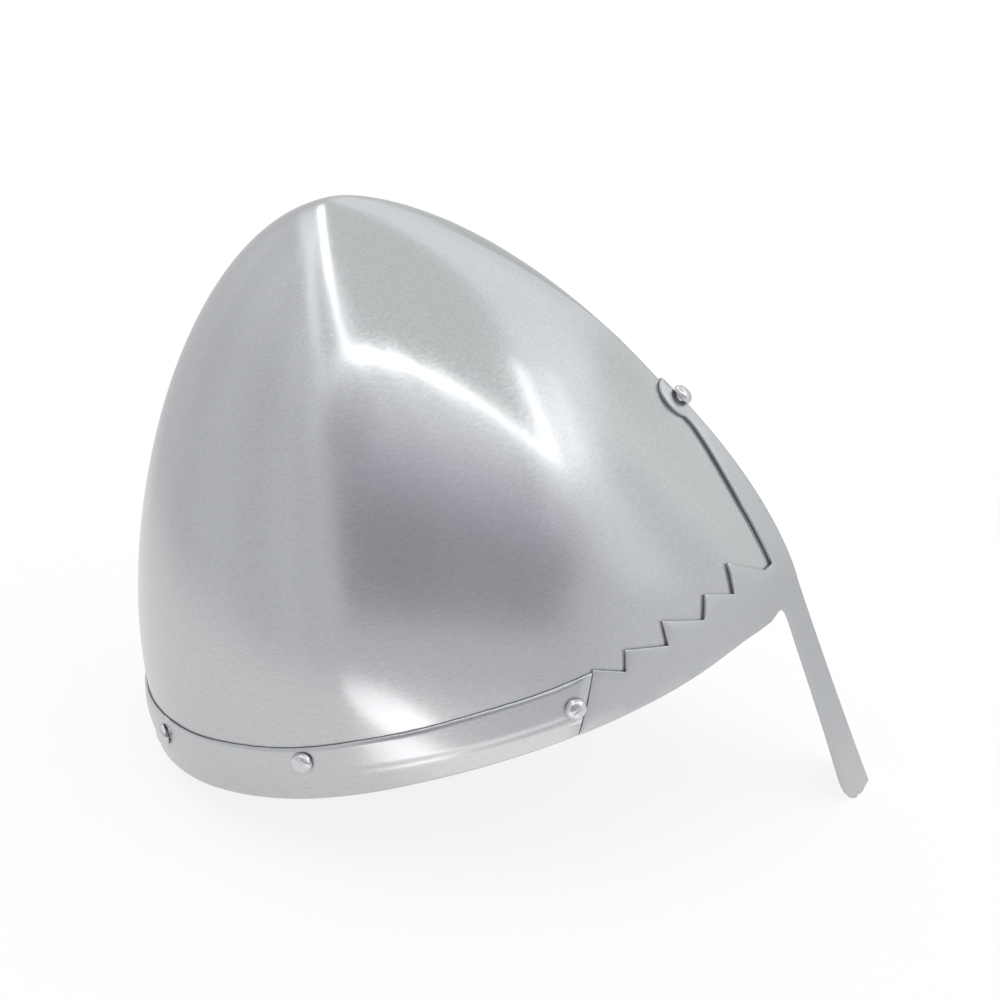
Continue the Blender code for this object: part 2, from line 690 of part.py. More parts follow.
def build_short_strap():
    """Left-hand strap, folded round the buckle's bar."""
    bar, t, up, inward = buckle_frame_axes()
    loop_c = bar
    n = 9
    d_end = SHORT_STRAP - 4.2
    outer, inner = [], []
    for k in range(n + 1):
        d = -STRAP_HALF + (d_end + STRAP_HALF) * k / n
        p = Vector(shell(-(RIVET_SIDE[0] + d), STRAP_Z, short_off(max(d, 0))))
        q = Vector(shell(-(RIVET_SIDE[0] + d), STRAP_Z, short_off(max(d, 0)) - 1.0))
        v = (q - p)
        v.z = 0
        v.normalize()
        outer.append(Vector((p.x, p.y)))
        inner.append(Vector((p.x + v.x * STRAP_T, p.y + v.y * STRAP_T)))
    arc = []
    for k in range(13):
        a = math.radians(150 - 300 * k / 12)
        q = loop_c + t * (LOOP_OUT * math.cos(a)) - inward * (LOOP_OUT * math.sin(a))
        arc.append(Vector((q.x, q.y)))
    outline = [tuple(v) for v in outer] + [tuple(v) for v in arc] + [tuple(v) for v in reversed(inner)]
    hole = []
    for k in range(12):
        a = 2 * math.pi * k / 12
        q = loop_c + t * (LOOP_IN * math.cos(a)) + inward * (LOOP_IN * math.sin(a))
        hole.append((q.x, q.y))
    p, nrm = skull_normal(-RIVET_SIDE[0], RIVET_SIDE[1])
    frame = (Vector((0, 0, 0)), Vector((1, 0, 0)), Vector((0, 1, 0)), Vector((0, 0, 1)))
    ob = prism("chin_strap_left", outline, [hole], frame, STRAP_Z - STRAP_HALF, STRAP_Z + STRAP_HALF, STRAP, origin=p)
    cutters = []
    bpy.ops.mesh.primitive_cylinder_add(vertices=14, radius=HOLE_R * MM, depth=14 * MM, location=(p - nrm * 8) * MM)
    c = bpy.context.object
    c.rotation_mode = "QUATERNION"
    c.rotation_quaternion = Vector((0, 0, 1)).rotation_difference(nrm)
    cutters.append(c)
    # slot for the tongue
    bpy.ops.mesh.primitive_cube_add(size=1.0, location=(loop_c + t * 1.2) * MM)
    c = bpy.context.object
    c.scale = (9.2 * MM, 10.0 * MM, 5.0 * MM)
    c.rotation_euler = (0, 0, math.atan2(t.y, t.x))
    cutters.append(c)
    for i, c in enumerate(cutters):
        c.name = f"cutter_strap_{i}"
        c.hide_render = True
        c.display_type = "WIRE"
        mod = ob.modifiers.new(f"cut_{i}", "BOOLEAN")
        mod.operation, mod.solver, mod.object = "DIFFERENCE", "EXACT", c


def build_buckle():
    bar, t, up, inward = buckle_frame_axes()
    half, length, r = 10.2, 15.0, 2.6
    path, ups = [], []

    def arc(cx, cz, a0):
        for k in range(4):
            a = math.radians(a0 + 30 * k)
            path.append(bar + t * (cx + r * math.cos(a)) + up * (cz + r * math.sin(a)))

    for k in range(5):
        path.append(bar + up * (-half + r + (2 * half - 2 * r) * (1 - k / 4)) + t * 0.0)
    arc(r, -half + r, 180)
    path.append(bar + t * (length / 2) - up * half)
    arc(length - r, -half + r, 270)
    path.append(bar + t * length)
    arc(length - r, half - r, 0)
    path.append(bar + t * (length / 2) + up * half)
    arc(r, half - r, 90)
    clean = []
    for q in path:
        if not clean or (q - clean[-1]).length > 0.4:
            clean.append(q)
    if (clean[0] - clean[-1]).length < 0.4:
        clean.pop()
    swept("buckle_frame", clean, BUCKLE_WIRE, 8, [inward] * len(clean), BRASS, origin=bar)

    # tongue: an eye round the bar and a pin resting on the far bar
    outline = []
    eye = 2.75
    for k in range(11):
        a = math.radians(75 + 230 * k / 10)
        outline.append((eye * math.cos(a), eye * math.sin(a)))
    tip = length + BUCKLE_WIRE + 2.2
    outline += [(3.2, -0.4), (8.0, 1.5), (length, 2.05), (tip, 2.2), (tip + 0.4, 3.0), (tip, 3.7), (length, 3.9), (8.0, 3.7), (3.4, 2.9)]
    hole = circle((0, 0), LOOP_IN, 12)
    frame = (bar, t, inward, up)
    prism("buckle_tongue", outline, [hole], frame, -1.7, 1.7, BRASS, origin=bar)

    # keeper: a leather loop round the short strap
    d = KEEPER_AT
    p = Vector(shell(-(RIVET_SIDE[0] + d), STRAP_Z, short_off(d)))
    q = Vector(shell(-(RIVET_SIDE[0] + d + 1), STRAP_Z, short_off(d + 1)))
    kt = (q - p)
    kt.z = 0
    kt.normalize()
    kn = Vector((kt.y, -kt.x, 0))
    if kn.dot(-p) < 0:
        kn = -kn
    c = p + kn * (STRAP_T / 2)
    c.z = STRAP_Z
    a, b = STRAP_T / 2 + 0.7, STRAP_HALF + 0.5
    w = 1.2
    outer = [(-a - w, -b - w), (a + w, -b - w), (a + w, b + w), (-a - w, b + w)]
    inner = [(-a, -b), (a, -b), (a, b), (-a, b)]
    prism("strap_keeper", outer, [inner], (c, kn, Vector((0, 0, 1)), kt), -4.0, 4.0, STRAP, origin=c)
    return bar, t, inward, c, kt


# ---- assembly ----------------------------------------------------------------
for ob in list(bpy.data.objects):
    bpy.data.objects.remove(ob, do_unlink=True)

build_skull()
build_band()
build_front()
# on the keel the head sits on the ridge, and the rove bridges the fold inside
build_rivet("rivet_top", 0.0, RIVET_TOP_Z, (GAP + SHEET) * 1.28, -SHEET * 1.28 - ROVE_R * 0.78)
for tag, side in (("right", 1), ("left", -1)):
    s, z = RIVET_FRONT
    build_rivet(f"rivet_front_{tag}", side * s, z, GAP + SHEET + 0.75, LINER_IN)
    s, z = RIVET_SIDE
    build_rivet(f"rivet_side_{tag}", side * s, z, GAP + SHEET + 0.75, STRAP_OUT - STRAP_T - 0.1)
    s, z = RIVET_REAR
    build_rivet(f"rivet_rear_{tag}", side * s, z, GAP + SHEET + 0.75, LINER_IN)
build_liner()
build_petals()
build_cord()
build_long_strap()
build_short_strap()
build_buckle()

# the finished helmet is set with its origin on the band's lower edge, at the middle of the back
for ob in bpy.data.objects:
    ob.location.y -= (REAR - STEP_IN + GAP + SHEET / 2) * MM
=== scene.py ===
"""Nasal helmet: steel skull, front plate and rear band, leather lining, chin straps and buckle.

Builders work in millimetres centred on the rim: -y is the helmet's front, -x the wearer's right,
z = 0 the rim. Most pieces are laid out on the skull by (girth, z): girth is measured along the rim
from the keel at the front, positive to the wearer's right. Meshes are in metres, with the origin
moved to ORIGIN near the rear of the rim.
"""
import math

import bmesh
import bpy
import numpy as np
from mathutils import Matrix, Vector
from mathutils.geometry import delaunay_2d_cdt


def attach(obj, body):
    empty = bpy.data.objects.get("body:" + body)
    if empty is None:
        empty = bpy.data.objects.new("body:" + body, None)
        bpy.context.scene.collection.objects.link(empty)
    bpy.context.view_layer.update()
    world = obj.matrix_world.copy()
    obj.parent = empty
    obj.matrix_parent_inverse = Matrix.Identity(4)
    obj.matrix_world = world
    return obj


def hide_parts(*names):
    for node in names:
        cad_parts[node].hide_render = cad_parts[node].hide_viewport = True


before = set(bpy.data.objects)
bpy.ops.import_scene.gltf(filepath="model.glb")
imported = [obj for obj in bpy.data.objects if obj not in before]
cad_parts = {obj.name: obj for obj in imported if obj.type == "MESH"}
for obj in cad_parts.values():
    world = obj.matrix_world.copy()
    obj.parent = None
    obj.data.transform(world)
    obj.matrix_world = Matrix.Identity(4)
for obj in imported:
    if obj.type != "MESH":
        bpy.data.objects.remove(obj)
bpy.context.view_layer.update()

MILLI = 0.001
ORIGIN = Vector((0.0, 89.9, 0.0))
Z_AXIS = Vector((0, 0, 1))
DENSITY = 1.0    # mesh density

# ---------------------------------------------------------------- shared dimensions, mm
# skull
HALF_WIDTH = 96.8
FRONT = 142.4            # reach ahead of and behind the rim's centre
REAR = 90.7
HEIGHT = 168.0
APEX_Y = -15.2
KEEL_RIM = 10.0          # keel's height at the rim and further up
KEEL_MID = 13.0
KEEL_WIDTH = 19.0
KEEL_FADE = (40.0, 165.0)    # z range over which the keel dies out
SHEET = 1.6
GAP = 0.35
STEP_IN = SHEET + GAP    # how far the skull lies inside the envelope
NASAL_RAKE = 0.108
NASAL_CURVE = 0.0002

# sheets laid on the skull, as offsets from its outer face
SNUG = 0.06
PLATE_OUT = 1.30
BAND_OUT = 1.05
BAND_TOP = 18.8
BUTT_LOW = 117.6         # girth where band meets plate, at the rim and at the band's top
BUTT_HIGH = 106.4

# rivets, as (girth, z)
RIVET_FRONT = (116.4, 9.9)
RIVET_SIDE = (207.9, 14.2)
RIVET_REAR = (277.0, 12.5)
RIVET_TOP_Z = 76.0
HEAD_R = 3.6
HEAD_H = 2.7
SHANK_R = 1.8
HOLE_R = 2.15
TAIL_R = 3.0
TAIL_H = 1.3
ROVE_R = 4.6
ROVE_T = 1.0

# leather layers, outermost first, as offsets from the skull's outer face
PETAL_T = 1.4
LINER_T = 1.8
STRAP_T = 2.0
PETAL_OUT = -SHEET - 0.5
PETAL_IN = PETAL_OUT - PETAL_T
PETAL_MIDDLE = (PETAL_OUT + PETAL_IN) / 2
LINER_OUT = PETAL_IN - 0.3
LINER_IN = LINER_OUT - LINER_T
STRAP_OUT = LINER_IN - 1.5

# straps and buckle
STRAP_HALF = 8.0         # half the strap's width
STRAP_Z = RIVET_SIDE[1]
LONG_STRAP = 205.0
SHORT_STRAP = 78.0
BUCKLE_WIRE = 1.3        # radii: the frame's bar, then inside and outside of the loop round it
LOOP_IN = 1.65
LOOP_OUT = 3.1
KEEPER_AT = 54.0


# ---------------------------------------------------------------- the helmet's surface
def ease(x, low, high):
    """Smooth step: 0 below low, 1 above high."""
    share = np.clip((np.asarray(x, float) - low) / (high - low), 0, 1)
    return share * share * (3 - 2 * share)


def section(z):
    """Half width, front and rear reach, centre y, keel height and front exponent at height z."""
    rise = np.clip(np.asarray(z, float) / HEIGHT, 0, 1)
    width = HALF_WIDTH * np.clip(1 - rise ** 2.2, 0, 1) ** 0.60
    front = FRONT * np.clip(1 - rise ** 1.55, 0, 1) ** 0.71
    rear = REAR * np.clip(1 - rise ** 1.7, 0, 1) ** 0.50
    centre_y = APEX_Y * rise ** 1.5
    keel = (KEEL_RIM + (KEEL_MID - KEEL_RIM) * ease(z, 0, 70)) * (1 - ease(z, *KEEL_FADE))
    return width, front, rear, centre_y, keel, 1.85 + 0.15 * rise


def oval(turn, z):
    """Half of the level section at z; turn runs from 1 at the front to -1 at the rear."""
    width, front, rear, centre_y, keel, power = section(z)
    turn = np.asarray(turn, float)
    ahead = np.clip(turn, 0, 1)
    x = np.where(turn < 0, width * np.sqrt(np.clip(1 - turn * turn, 0, 1)),
                 width * np.clip(1 - ahead ** 2.04, 0, 1) ** (1 / power))
    keel = np.minimum(keel, 0.35 * front)
    ridge = keel * (np.exp(-x / KEEL_WIDTH) - np.exp(-width / KEEL_WIDTH))
    ridge = ridge * np.where(ahead > 0, 1, 0)
    return x, centre_y + np.where(turn < 0, -turn * rear, -ahead * (front - keel) - ridge)


# the rim's turn against its length from the keel
RIM_TURN = np.concatenate([np.sin(np.linspace(math.pi / 2, 0, 1500)),
                           -np.sin(np.linspace(0, math.pi / 2, 900))[1:]])
rim_x, rim_y = oval(RIM_TURN, np.zeros_like(RIM_TURN))
RIM_GIRTH = np.concatenate([[0], np.cumsum(np.hypot(np.diff(rim_x), np.diff(rim_y)))])
HALF_GIRTH = float(RIM_GIRTH[-1])


def envelope(girth, z):
    """The outer form; below the rim it runs on down as the raked nasal."""
    x, y = oval(np.interp(girth, RIM_GIRTH, RIM_TURN), np.maximum(z, 0))
    drop = np.minimum(z, 0)
    return np.stack([x, y + NASAL_RAKE * drop - NASAL_CURVE * drop * drop, z], -1)


def shell(girth, z, offset):
    """Points `offset` outside the skull's outer face."""
    girth, z, offset = np.broadcast_arrays(*[np.asarray(part, float) for part in (girth, z, offset)])
    side = np.where(girth < 0, -1.0, 1.0)
    reach = np.abs(girth)
    wrapped = reach > HALF_GIRTH
    side = np.where(wrapped, -side, side)
    reach = np.where(wrapped, 2 * HALF_GIRTH - reach, reach)
    point = envelope(reach, z)
    # the normal by finite differences, taken backwards at the rear line and the apex
    delta = 0.4
    back = reach + delta > HALF_GIRTH
    along = envelope(np.where(back, reach - delta, reach + delta), z) - point
    along = along * np.where(back, -1.0, 1.0)[..., None]
    top = z + delta > HEIGHT
    upward = envelope(reach, np.where(top, z - delta, z + delta)) - point
    upward = upward * np.where(top, -1.0, 1.0)[..., None]
    normal = np.cross(along, upward)
    normal /= np.maximum(np.linalg.norm(normal, axis=-1, keepdims=True), 1e-9)
    # on the middle plane the normal has no sideways part
    middle = (reach < 1e-6) | (reach > HALF_GIRTH - 1e-6)
    size = np.maximum(np.hypot(normal[..., 1], normal[..., 2]), 1e-6)
    level = np.stack([0 * size, normal[..., 1], normal[..., 2]], -1) / (size ** 2)[..., None]
    normal = np.where(middle[..., None], level, normal)
    rim = 1 - np.exp(-(np.maximum(z, 0) / 30.0) ** 2)
    keel = 1 - np.exp(-(reach / 28.0) ** 2) * (1 - ease(z, 80, 112))
    point = point + normal * (offset - STEP_IN * (1 - rim * keel))[..., None]
    x = np.where(middle, 0.0, point[..., 0])
    return np.stack([-side * x, point[..., 1], point[..., 2]], -1)


def skull_normal(girth, z):
    """A point on the skull's outer face and the outward normal there."""
    face, outside = shell(girth, z, 0.0), shell(girth, z, 1.0)
    return Vector(face), Vector(outside - face).normalized()


def wobble(seed, *waves):
    """Slow repeatable unevenness in about -1..1: sines of the given (coordinate, wavelength)s."""
    rng = np.random.default_rng(seed)
    total = np.zeros(np.broadcast_shapes(*[np.shape(x) for x, _ in waves]))
    for _ in range(5):
        phase = rng.uniform(0, 6.28)
        for x, wave in waves:
            phase = phase + (np.asarray(x, float) * (2 * math.pi / wave)
                             * rng.uniform(0.5, 1.5) * rng.choice([-1, 1]))
        total = total + np.sin(phase)
    return total / 3.2


# ---------------------------------------------------------------- mesh helpers
def add_piece(name, verts, faces, material, body, stands_for=None, slot=None, sharp=None,
              weld=True):
    """Make an object of the builders' millimetre points; `sharp` is an edge angle in degrees."""
    mesh = bpy.data.meshes.new(name)
    mesh.from_pydata([((float(v[0]) - ORIGIN.x) * MILLI, (float(v[1]) - ORIGIN.y) * MILLI,
                       (float(v[2]) - ORIGIN.z) * MILLI) for v in verts], [], faces)
    mesh.update()
    bm = bmesh.new()
    bm.from_mesh(mesh)
    if weld:
        bmesh.ops.remove_doubles(bm, verts=bm.verts, dist=2e-6)
    bmesh.ops.dissolve_degenerate(bm, edges=bm.edges, dist=1e-7)
    bmesh.ops.recalc_face_normals(bm, faces=bm.faces)
    bm.to_mesh(mesh)
    bm.free()
    mesh.shade_smooth()
    if sharp:
        mesh.set_sharp_from_angle(angle=math.radians(sharp))
    piece = bpy.data.objects.new(name, mesh)
    mesh.materials.append(material)
    bpy.context.collection.objects.link(piece)
    if body:
        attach(piece, body)
    if stands_for:
        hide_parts(stands_for)
    return piece


def ring_faces(count, size, closed=False):
    """Quads joining `count` closed rings of `size` points each."""
    faces = []
    for i in range(count if closed else count - 1):
        j = (i + 1) % count
        for k in range(size):
            m = (k + 1) % size
            faces.append((i * size + k, i * size + m, j * size + m, j * size + k))
    return faces


def end_caps(count, size):
    return [tuple(range(size)), tuple(reversed(range((count - 1) * size, count * size)))]


def inset(polygon, distance):
    """The closed polygon moved inwards, with limited mitres."""
    points = np.array(polygon, float)
    area = 0.5 * np.sum(points[:, 0] * np.roll(points[:, 1], -1)
                        - np.roll(points[:, 0], -1) * points[:, 1])
    edge = np.roll(points, -1, 0) - points
    edge /= np.maximum(np.linalg.norm(edge, axis=1, keepdims=True), 1e-9)
    normal = np.stack([-edge[:, 1], edge[:, 0]], 1) * (1 if area > 0 else -1)
    before = np.roll(normal, 1, 0)
    cosine = np.clip(np.sum(normal * before, 1), -0.8, 1)
    return points + distance * (normal + before) / (1 + cosine)[:, None]


def resample(polygon, step):
    points = []
    for i in range(len(polygon)):
        start = np.array(polygon[i], float)
        end = np.array(polygon[(i + 1) % len(polygon)], float)
        count = max(1, int(math.ceil(np.linalg.norm(end - start) / step)))
        points += [tuple(start + (end - start) * k / count) for k in range(count)]
    return points


def within(points, polygon):
    """Which of the points lie inside the closed polygon."""
    x, y = points[:, 0], points[:, 1]
    polygon = np.asarray(polygon, float)
    hit = np.zeros(len(x), bool)
    for i in range(len(polygon)):
        x0, y0 = polygon[i]
        x1, y1 = polygon[(i + 1) % len(polygon)]
        if y0 == y1:
            continue
        hit ^= ((y0 > y) != (y1 > y)) & (x < (x1 - x0) * (y - y0) / (y1 - y0) + x0)
    return hit


def circle(centre, radius, count, scale=(1.0, 1.0)):
    turns = [2 * math.pi * k / count for k in range(count)]
    return [(centre[0] + scale[0] * radius * math.cos(turn),
             centre[1] + scale[1] * radius * math.sin(turn)) for turn in turns]


def plate(name, outline, holes, surface, low, high, material, body, step, grid, rounding,
          lines=(), **piece):
    """A sheet with rounded edges: `outline` minus `holes` in a plane, wrapped by
    surface(x, y, offset) between offsets low and high, each a number or a function of (x, y).
    Three rings round each edge make the rounding; `lines` are extra rows of mesh points."""
    points, edges, drops = [], [], []

    def add_row(row, drop, closed):
        first = len(points)
        points.extend([tuple(map(float, point)) for point in row])
        drops.extend([drop] * len(row))
        count = len(row)
        for i in range(count if closed else count - 1):
            edges.append((first + i, first + (i + 1) % count))

    def inside_sheet(candidates):
        keep = within(candidates, border)
        for hole in holes:
            keep &= ~within(candidates, hole)
        return keep

    border = resample(outline, step)
    for inwards, drop in ((0.0, rounding), (0.3 * rounding, 0.3 * rounding), (rounding, 0.0)):
        add_row(inset(border, inwards) if inwards else border, drop, True)
        for hole in holes:
            add_row(inset(hole, -inwards) if inwards else hole, drop, True)
    for line in lines:
        add_row(line, 0.0, False)

    # fill with a staggered grid, clear of the rows already placed
    fixed = np.array(points)
    lowest, highest = fixed.min(0), fixed.max(0)
    columns = np.arange(lowest[0], highest[0], grid[0])
    rows = np.arange(lowest[1], highest[1], grid[1])
    fill = np.array([(x + (0.5 * grid[0] if j % 2 else 0.0), y)
                     for j, y in enumerate(rows) for x in columns])
    fill = fill[inside_sheet(fill)]
    cell = np.array(grid)
    clear = np.zeros(len(fill), bool)
    for i in range(0, len(fill), 400):
        away = (fill[i:i + 400, None, :] - fixed[None]) / cell
        clear[i:i + 400] = np.min(away[..., 0] ** 2 + away[..., 1] ** 2, 1) > 0.25
    for point in fill[clear]:
        points.append(tuple(point))
        drops.append(0.0)

    flat, _, triangles, sources, *_ = delaunay_2d_cdt([Vector(point) for point in points],
                                                      edges, [], 0, 1e-6)
    flat = np.array([tuple(point) for point in flat])
    drop = np.array([max((drops[i] for i in source), default=0.0) for source in sources])
    triangles = np.array([tuple(triangle) for triangle in triangles if len(triangle) == 3])
    triangles = triangles[inside_sheet(flat[triangles].mean(1))]
    x, y = flat[:, 0], flat[:, 1]
    high, low = [face(x, y) if callable(face) else face for face in (high, low)]
    top = surface(x, y, high - drop)
    bottom = surface(x, y, low + drop)

    # both faces, then a wall along every edge that has a triangle on one side only
    count = len(flat)
    sides = dict.fromkeys((int(triangle[i]), int(triangle[(i + 1) % 3]))
                          for triangle in triangles for i in range(3))
    faces = [tuple(map(int, triangle)) for triangle in triangles]
    faces += [tuple(int(i) + count for i in reversed(triangle)) for triangle in triangles]
    for start, end in sides:
        if (end, start) not in sides:
            faces.append((end, start, start + count, end + count))
    used = sorted({i for face in faces for i in face})
    index = {old: new for new, old in enumerate(used)}
    return add_piece(name, np.concatenate([top, bottom])[used],
                     [tuple(index[i] for i in face) for face in faces], material, body, **piece)


def straight_surface(origin, first, second, third):
    """A plate surface along three straight axes."""
    origin, first, second, third = map(np.array, (origin, first, second, third))

    def surface(x, y, offset):
        return origin + x[:, None] * first + y[:, None] * second + offset[:, None] * third

    return surface


def strip_profile(bottom, top, margin, count, edge):
    """Cross-section of an upright strip, as z and share of thickness (1 outer face, 0 inner).
    `edge` lists (setback, share) over the rounded upper edge, from the outer face inwards."""
    face = list(np.linspace(bottom + margin, top - margin, count))
    rows = [(z, 1.0) for z in face] + [(top - back, share) for back, share in edge]
    rows += [(z, 0.0) for z in face[::-1]]
    rows += [(bottom + back, share) for back, share in reversed(edge)]
    return np.array(rows).T


def tube(path, radius, sides, up=Z_AXIS, closed=True, taper=None):
    """(verts, faces) of a round bar along a path; taper scales the radius at each point."""
    count = len(path)
    verts = []
    for i in range(count):
        after = path[(i + 1) % count if closed else min(i + 1, count - 1)]
        before = path[i - 1 if closed or i else 0]
        along = (after - before).normalized()
        first = (up - along * up.dot(along)).normalized()
        second = along.cross(first)
        size = radius * (taper[i] if taper else 1.0)
        for k in range(sides):
            turn = 2 * math.pi * (k + 0.5) / sides
            verts.append(path[i] + (first * math.cos(turn) + second * math.sin(turn)) * size)
    faces = ring_faces(count, sides, closed)
    if not closed:
        faces.append(tuple(reversed(range(sides))))
        faces.append(tuple(range((count - 1) * sides, count * sides)))
    return verts, faces


def stitch(point_at):
    """One tapering stitch through point_at(share), share running from 0 to 1."""
    shares = [k / 6 for k in range(7)]
    taper = [0.75 + 0.25 * math.sin(math.pi * share) for share in shares]
    return tube([point_at(share) for share in shares], 0.36, 6, closed=False, taper=taper)


def join(parts):
    verts, faces = [], []
    for part_verts, part_faces in parts:
        first = len(verts)
        verts += list(part_verts)
        faces += [tuple(i + first for i in face) for face in part_faces]
    return verts, faces


# ---------------------------------------------------------------- shader helpers
class Signal:
    """A shader output that takes arithmetic: each operation adds one math node."""

    def __init__(self, graph, socket):
        self.graph = graph
        self.socket = socket

    def __add__(self, other):
        return self.graph.math("ADD", self, other)

    def __radd__(self, other):
        return self.graph.math("ADD", other, self)

    def __sub__(self, other):
        return self.graph.math("SUBTRACT", self, other)

    def __rsub__(self, other):
        return self.graph.math("SUBTRACT", other, self)

    def __mul__(self, other):
        return self.graph.math("MULTIPLY", self, other)

    def __rmul__(self, other):
        return self.graph.math("MULTIPLY", other, self)

    def __truediv__(self, other):
        return self.graph.math("DIVIDE", self, other)

    def __pow__(self, other):
        return self.graph.math("POWER", self, other)


class ShaderGraph:
    def __init__(self, tree):
        self.tree = tree
        tree.nodes.clear()

    def add(self, kind, inputs=(), output=0, **settings):
        """Add a node and return its output, or a list of outputs when `output` is a tuple."""
        node = self.tree.nodes.new(kind)
        for key, value in settings.items():
            setattr(node, key, value)
        for key, value in dict(inputs).items():
            if isinstance(value, Signal):
                self.tree.links.new(value.socket, node.inputs[key])
            else:
                node.inputs[key].default_value = value
        if isinstance(output, tuple):
            return [Signal(self, node.outputs[key]) for key in output]
        return Signal(self, node.outputs[output])

    def finish(self, shader, kind="ShaderNodeOutputMaterial"):
        self.tree.links.new(shader.socket, self.tree.nodes.new(kind).inputs[0])

    def math(self, operation, *values, clamp=False):
        return self.add("ShaderNodeMath", enumerate(values), operation=operation,
                        use_clamp=clamp)

    def rise(self, value, start, end, low=0.0, high=1.0):
        """Smooth step from `low` where value = start to `high` where value = end."""
        return self.add("ShaderNodeMapRange", enumerate((value, start, end, low, high)),
                        interpolation_type="SMOOTHSTEP")

    def fall(self, value, start, end):
        """Smooth step from 1 at start to 0 at end."""
        return self.rise(value, start, end, low=1.0, high=0.0)

    def coordinate(self, kind="Object"):
        return self.add("ShaderNodeTexCoord", output=kind)

    def components(self, vector):
        return self.add("ShaderNodeSeparateXYZ", {0: vector}, (0, 1, 2))

    def mix_colour(self, factor, first, second):
        first, second = [(*colour, 1.0) if isinstance(colour, tuple) else colour
                         for colour in (first, second)]
        return self.add("ShaderNodeMix", {0: factor, 6: first, 7: second}, 2,
                        data_type="RGBA", blend_type="MIX")

    def mix_shader(self, factor, first, second):
        return self.add("ShaderNodeMixShader", {0: factor, 1: first, 2: second})

    def glow(self, kind, colour, strength):
        """An emission or background shader."""
        return self.add(kind, {0: colour, 1: strength})

    def noise(self, vector, scale, detail=2.0, rough=0.5, distortion=0.0):
        return self.add("ShaderNodeTexNoise",
                        {"Vector": vector, "Scale": scale, "Detail": detail,
                         "Roughness": rough, "Distortion": distortion})

    def bump(self, height, strength, distance, normal=None):
        inputs = {"Strength": strength, "Distance": distance, "Height": height}
        if normal is not None:
            inputs["Normal"] = normal
        return self.add("ShaderNodeBump", inputs)

    def finish_surface(self, colour, roughness, normal, inputs):
        self.finish(self.add("ShaderNodeBsdfPrincipled",
                             {"Base Color": colour, "Roughness": roughness,
                              "Normal": normal, **inputs}))


def new_material(name):
    material = bpy.data.materials.new(name)
    material.use_nodes = True
    return material, ShaderGraph(material.node_tree)


def scaled(colour, factor):
    return tuple(min(1.0, channel * factor) for channel in colour)


# ---------------------------------------------------------------- materials
def steel(name, tint, rough, grain, blotch, scratch=0.25, edge=0.0):
    """Satin steel: brushed round the helmet, faint blotches, stray scratches, painted highlights on
    sharp edges and painted shade in corners.
    """
    material, graph = new_material(name)
    position = graph.coordinate()
    x, y, z = graph.components(position)
    y = y + 0.0899
    angle = graph.math("ARCTAN2", x, y * -1.0)
    radius = graph.math("SQRT", x ** 2.0 + y ** 2.0)

    def brushed(turn, rise, depth):
        """Coordinates stretched round the helmet: low `turn` draws the pattern out."""
        return graph.add("ShaderNodeCombineXYZ",
                         enumerate((angle * turn, z * rise, radius * depth)))

    lines = graph.noise(brushed(turn=9.0, rise=2600.0, depth=60.0), scale=1.0, detail=3.0,
                        rough=0.6)
    dust = graph.noise(position, scale=1500.0, rough=0.6)
    slow = graph.noise(position, scale=16.0, detail=3.0, rough=0.55, distortion=0.6)
    medium = graph.noise(position, scale=60.0, detail=4.0, rough=0.6)
    speckle = graph.noise(brushed(turn=42.0, rise=1500.0, depth=1100.0), scale=1.0, rough=0.65)
    streaks = graph.noise(brushed(turn=7.0, rise=900.0, depth=500.0), scale=1.0, detail=1.0,
                          rough=0.4)
    patches = graph.noise(position, scale=31.0, detail=1.0)
    scratches = (graph.rise(streaks, start=0.70, end=0.80)
                 * graph.rise(patches, start=0.5, end=0.62))

    shade = (slow - 0.5) * (2 * blotch) + ((speckle - 0.5) * (0.62 * grain)
                                           + (dust - 0.5) * (0.25 * grain))
    shade = shade + scratches * (-0.10 * scratch)
    colour = graph.mix_colour(graph.math("ADD", shade, 0.5, clamp=True),
                              scaled(tint, 0.80), scaled(tint, 1.18))
    colour = graph.mix_colour(graph.rise(medium, start=0.56, end=0.72, high=0.10), colour,
                              (tint[0] * 0.93, tint[1] * 0.97, tint[2] * 0.95))
    roughness = rough + ((slow - 0.5) * 0.07 + (speckle - 0.5) * (0.10 * grain))
    normal = graph.bump(speckle, strength=0.10 * grain, distance=0.00004)
    normal = graph.bump(lines, strength=0.06 * grain, distance=0.00004, normal=normal)
    normal = graph.bump(medium, strength=0.10, distance=0.00010, normal=normal)

    # painted shade: ambient occlusion darkens the colour in the corners where one sheet lies on
    # another, and the roughness rises there too
    openness = graph.add("ShaderNodeAmbientOcclusion", {"Distance": 0.0013}, "AO", samples=4)
    corner = graph.fall(openness, start=0.45, end=0.92)
    colour = graph.mix_colour(corner * 0.36, colour, (0.19, 0.19, 0.195))
    roughness = roughness + corner * 0.20
    if edge > 0:
        # painted highlight: sharp edges, found by their pointiness, are lightened towards near-white
        pointiness = graph.add("ShaderNodeNewGeometry", output="Pointiness")
        edge_highlight = graph.rise(pointiness, start=0.53, end=0.62)
        colour = graph.mix_colour(edge_highlight * edge, colour, (0.93, 0.93, 0.94))
    tangent = graph.add("ShaderNodeTangent", direction_type="RADIAL", axis="Z")
    graph.finish_surface(colour, roughness, normal,
                         {"Metallic": 1.0, "Anisotropic": 0.25, "Tangent": tangent})
    return material


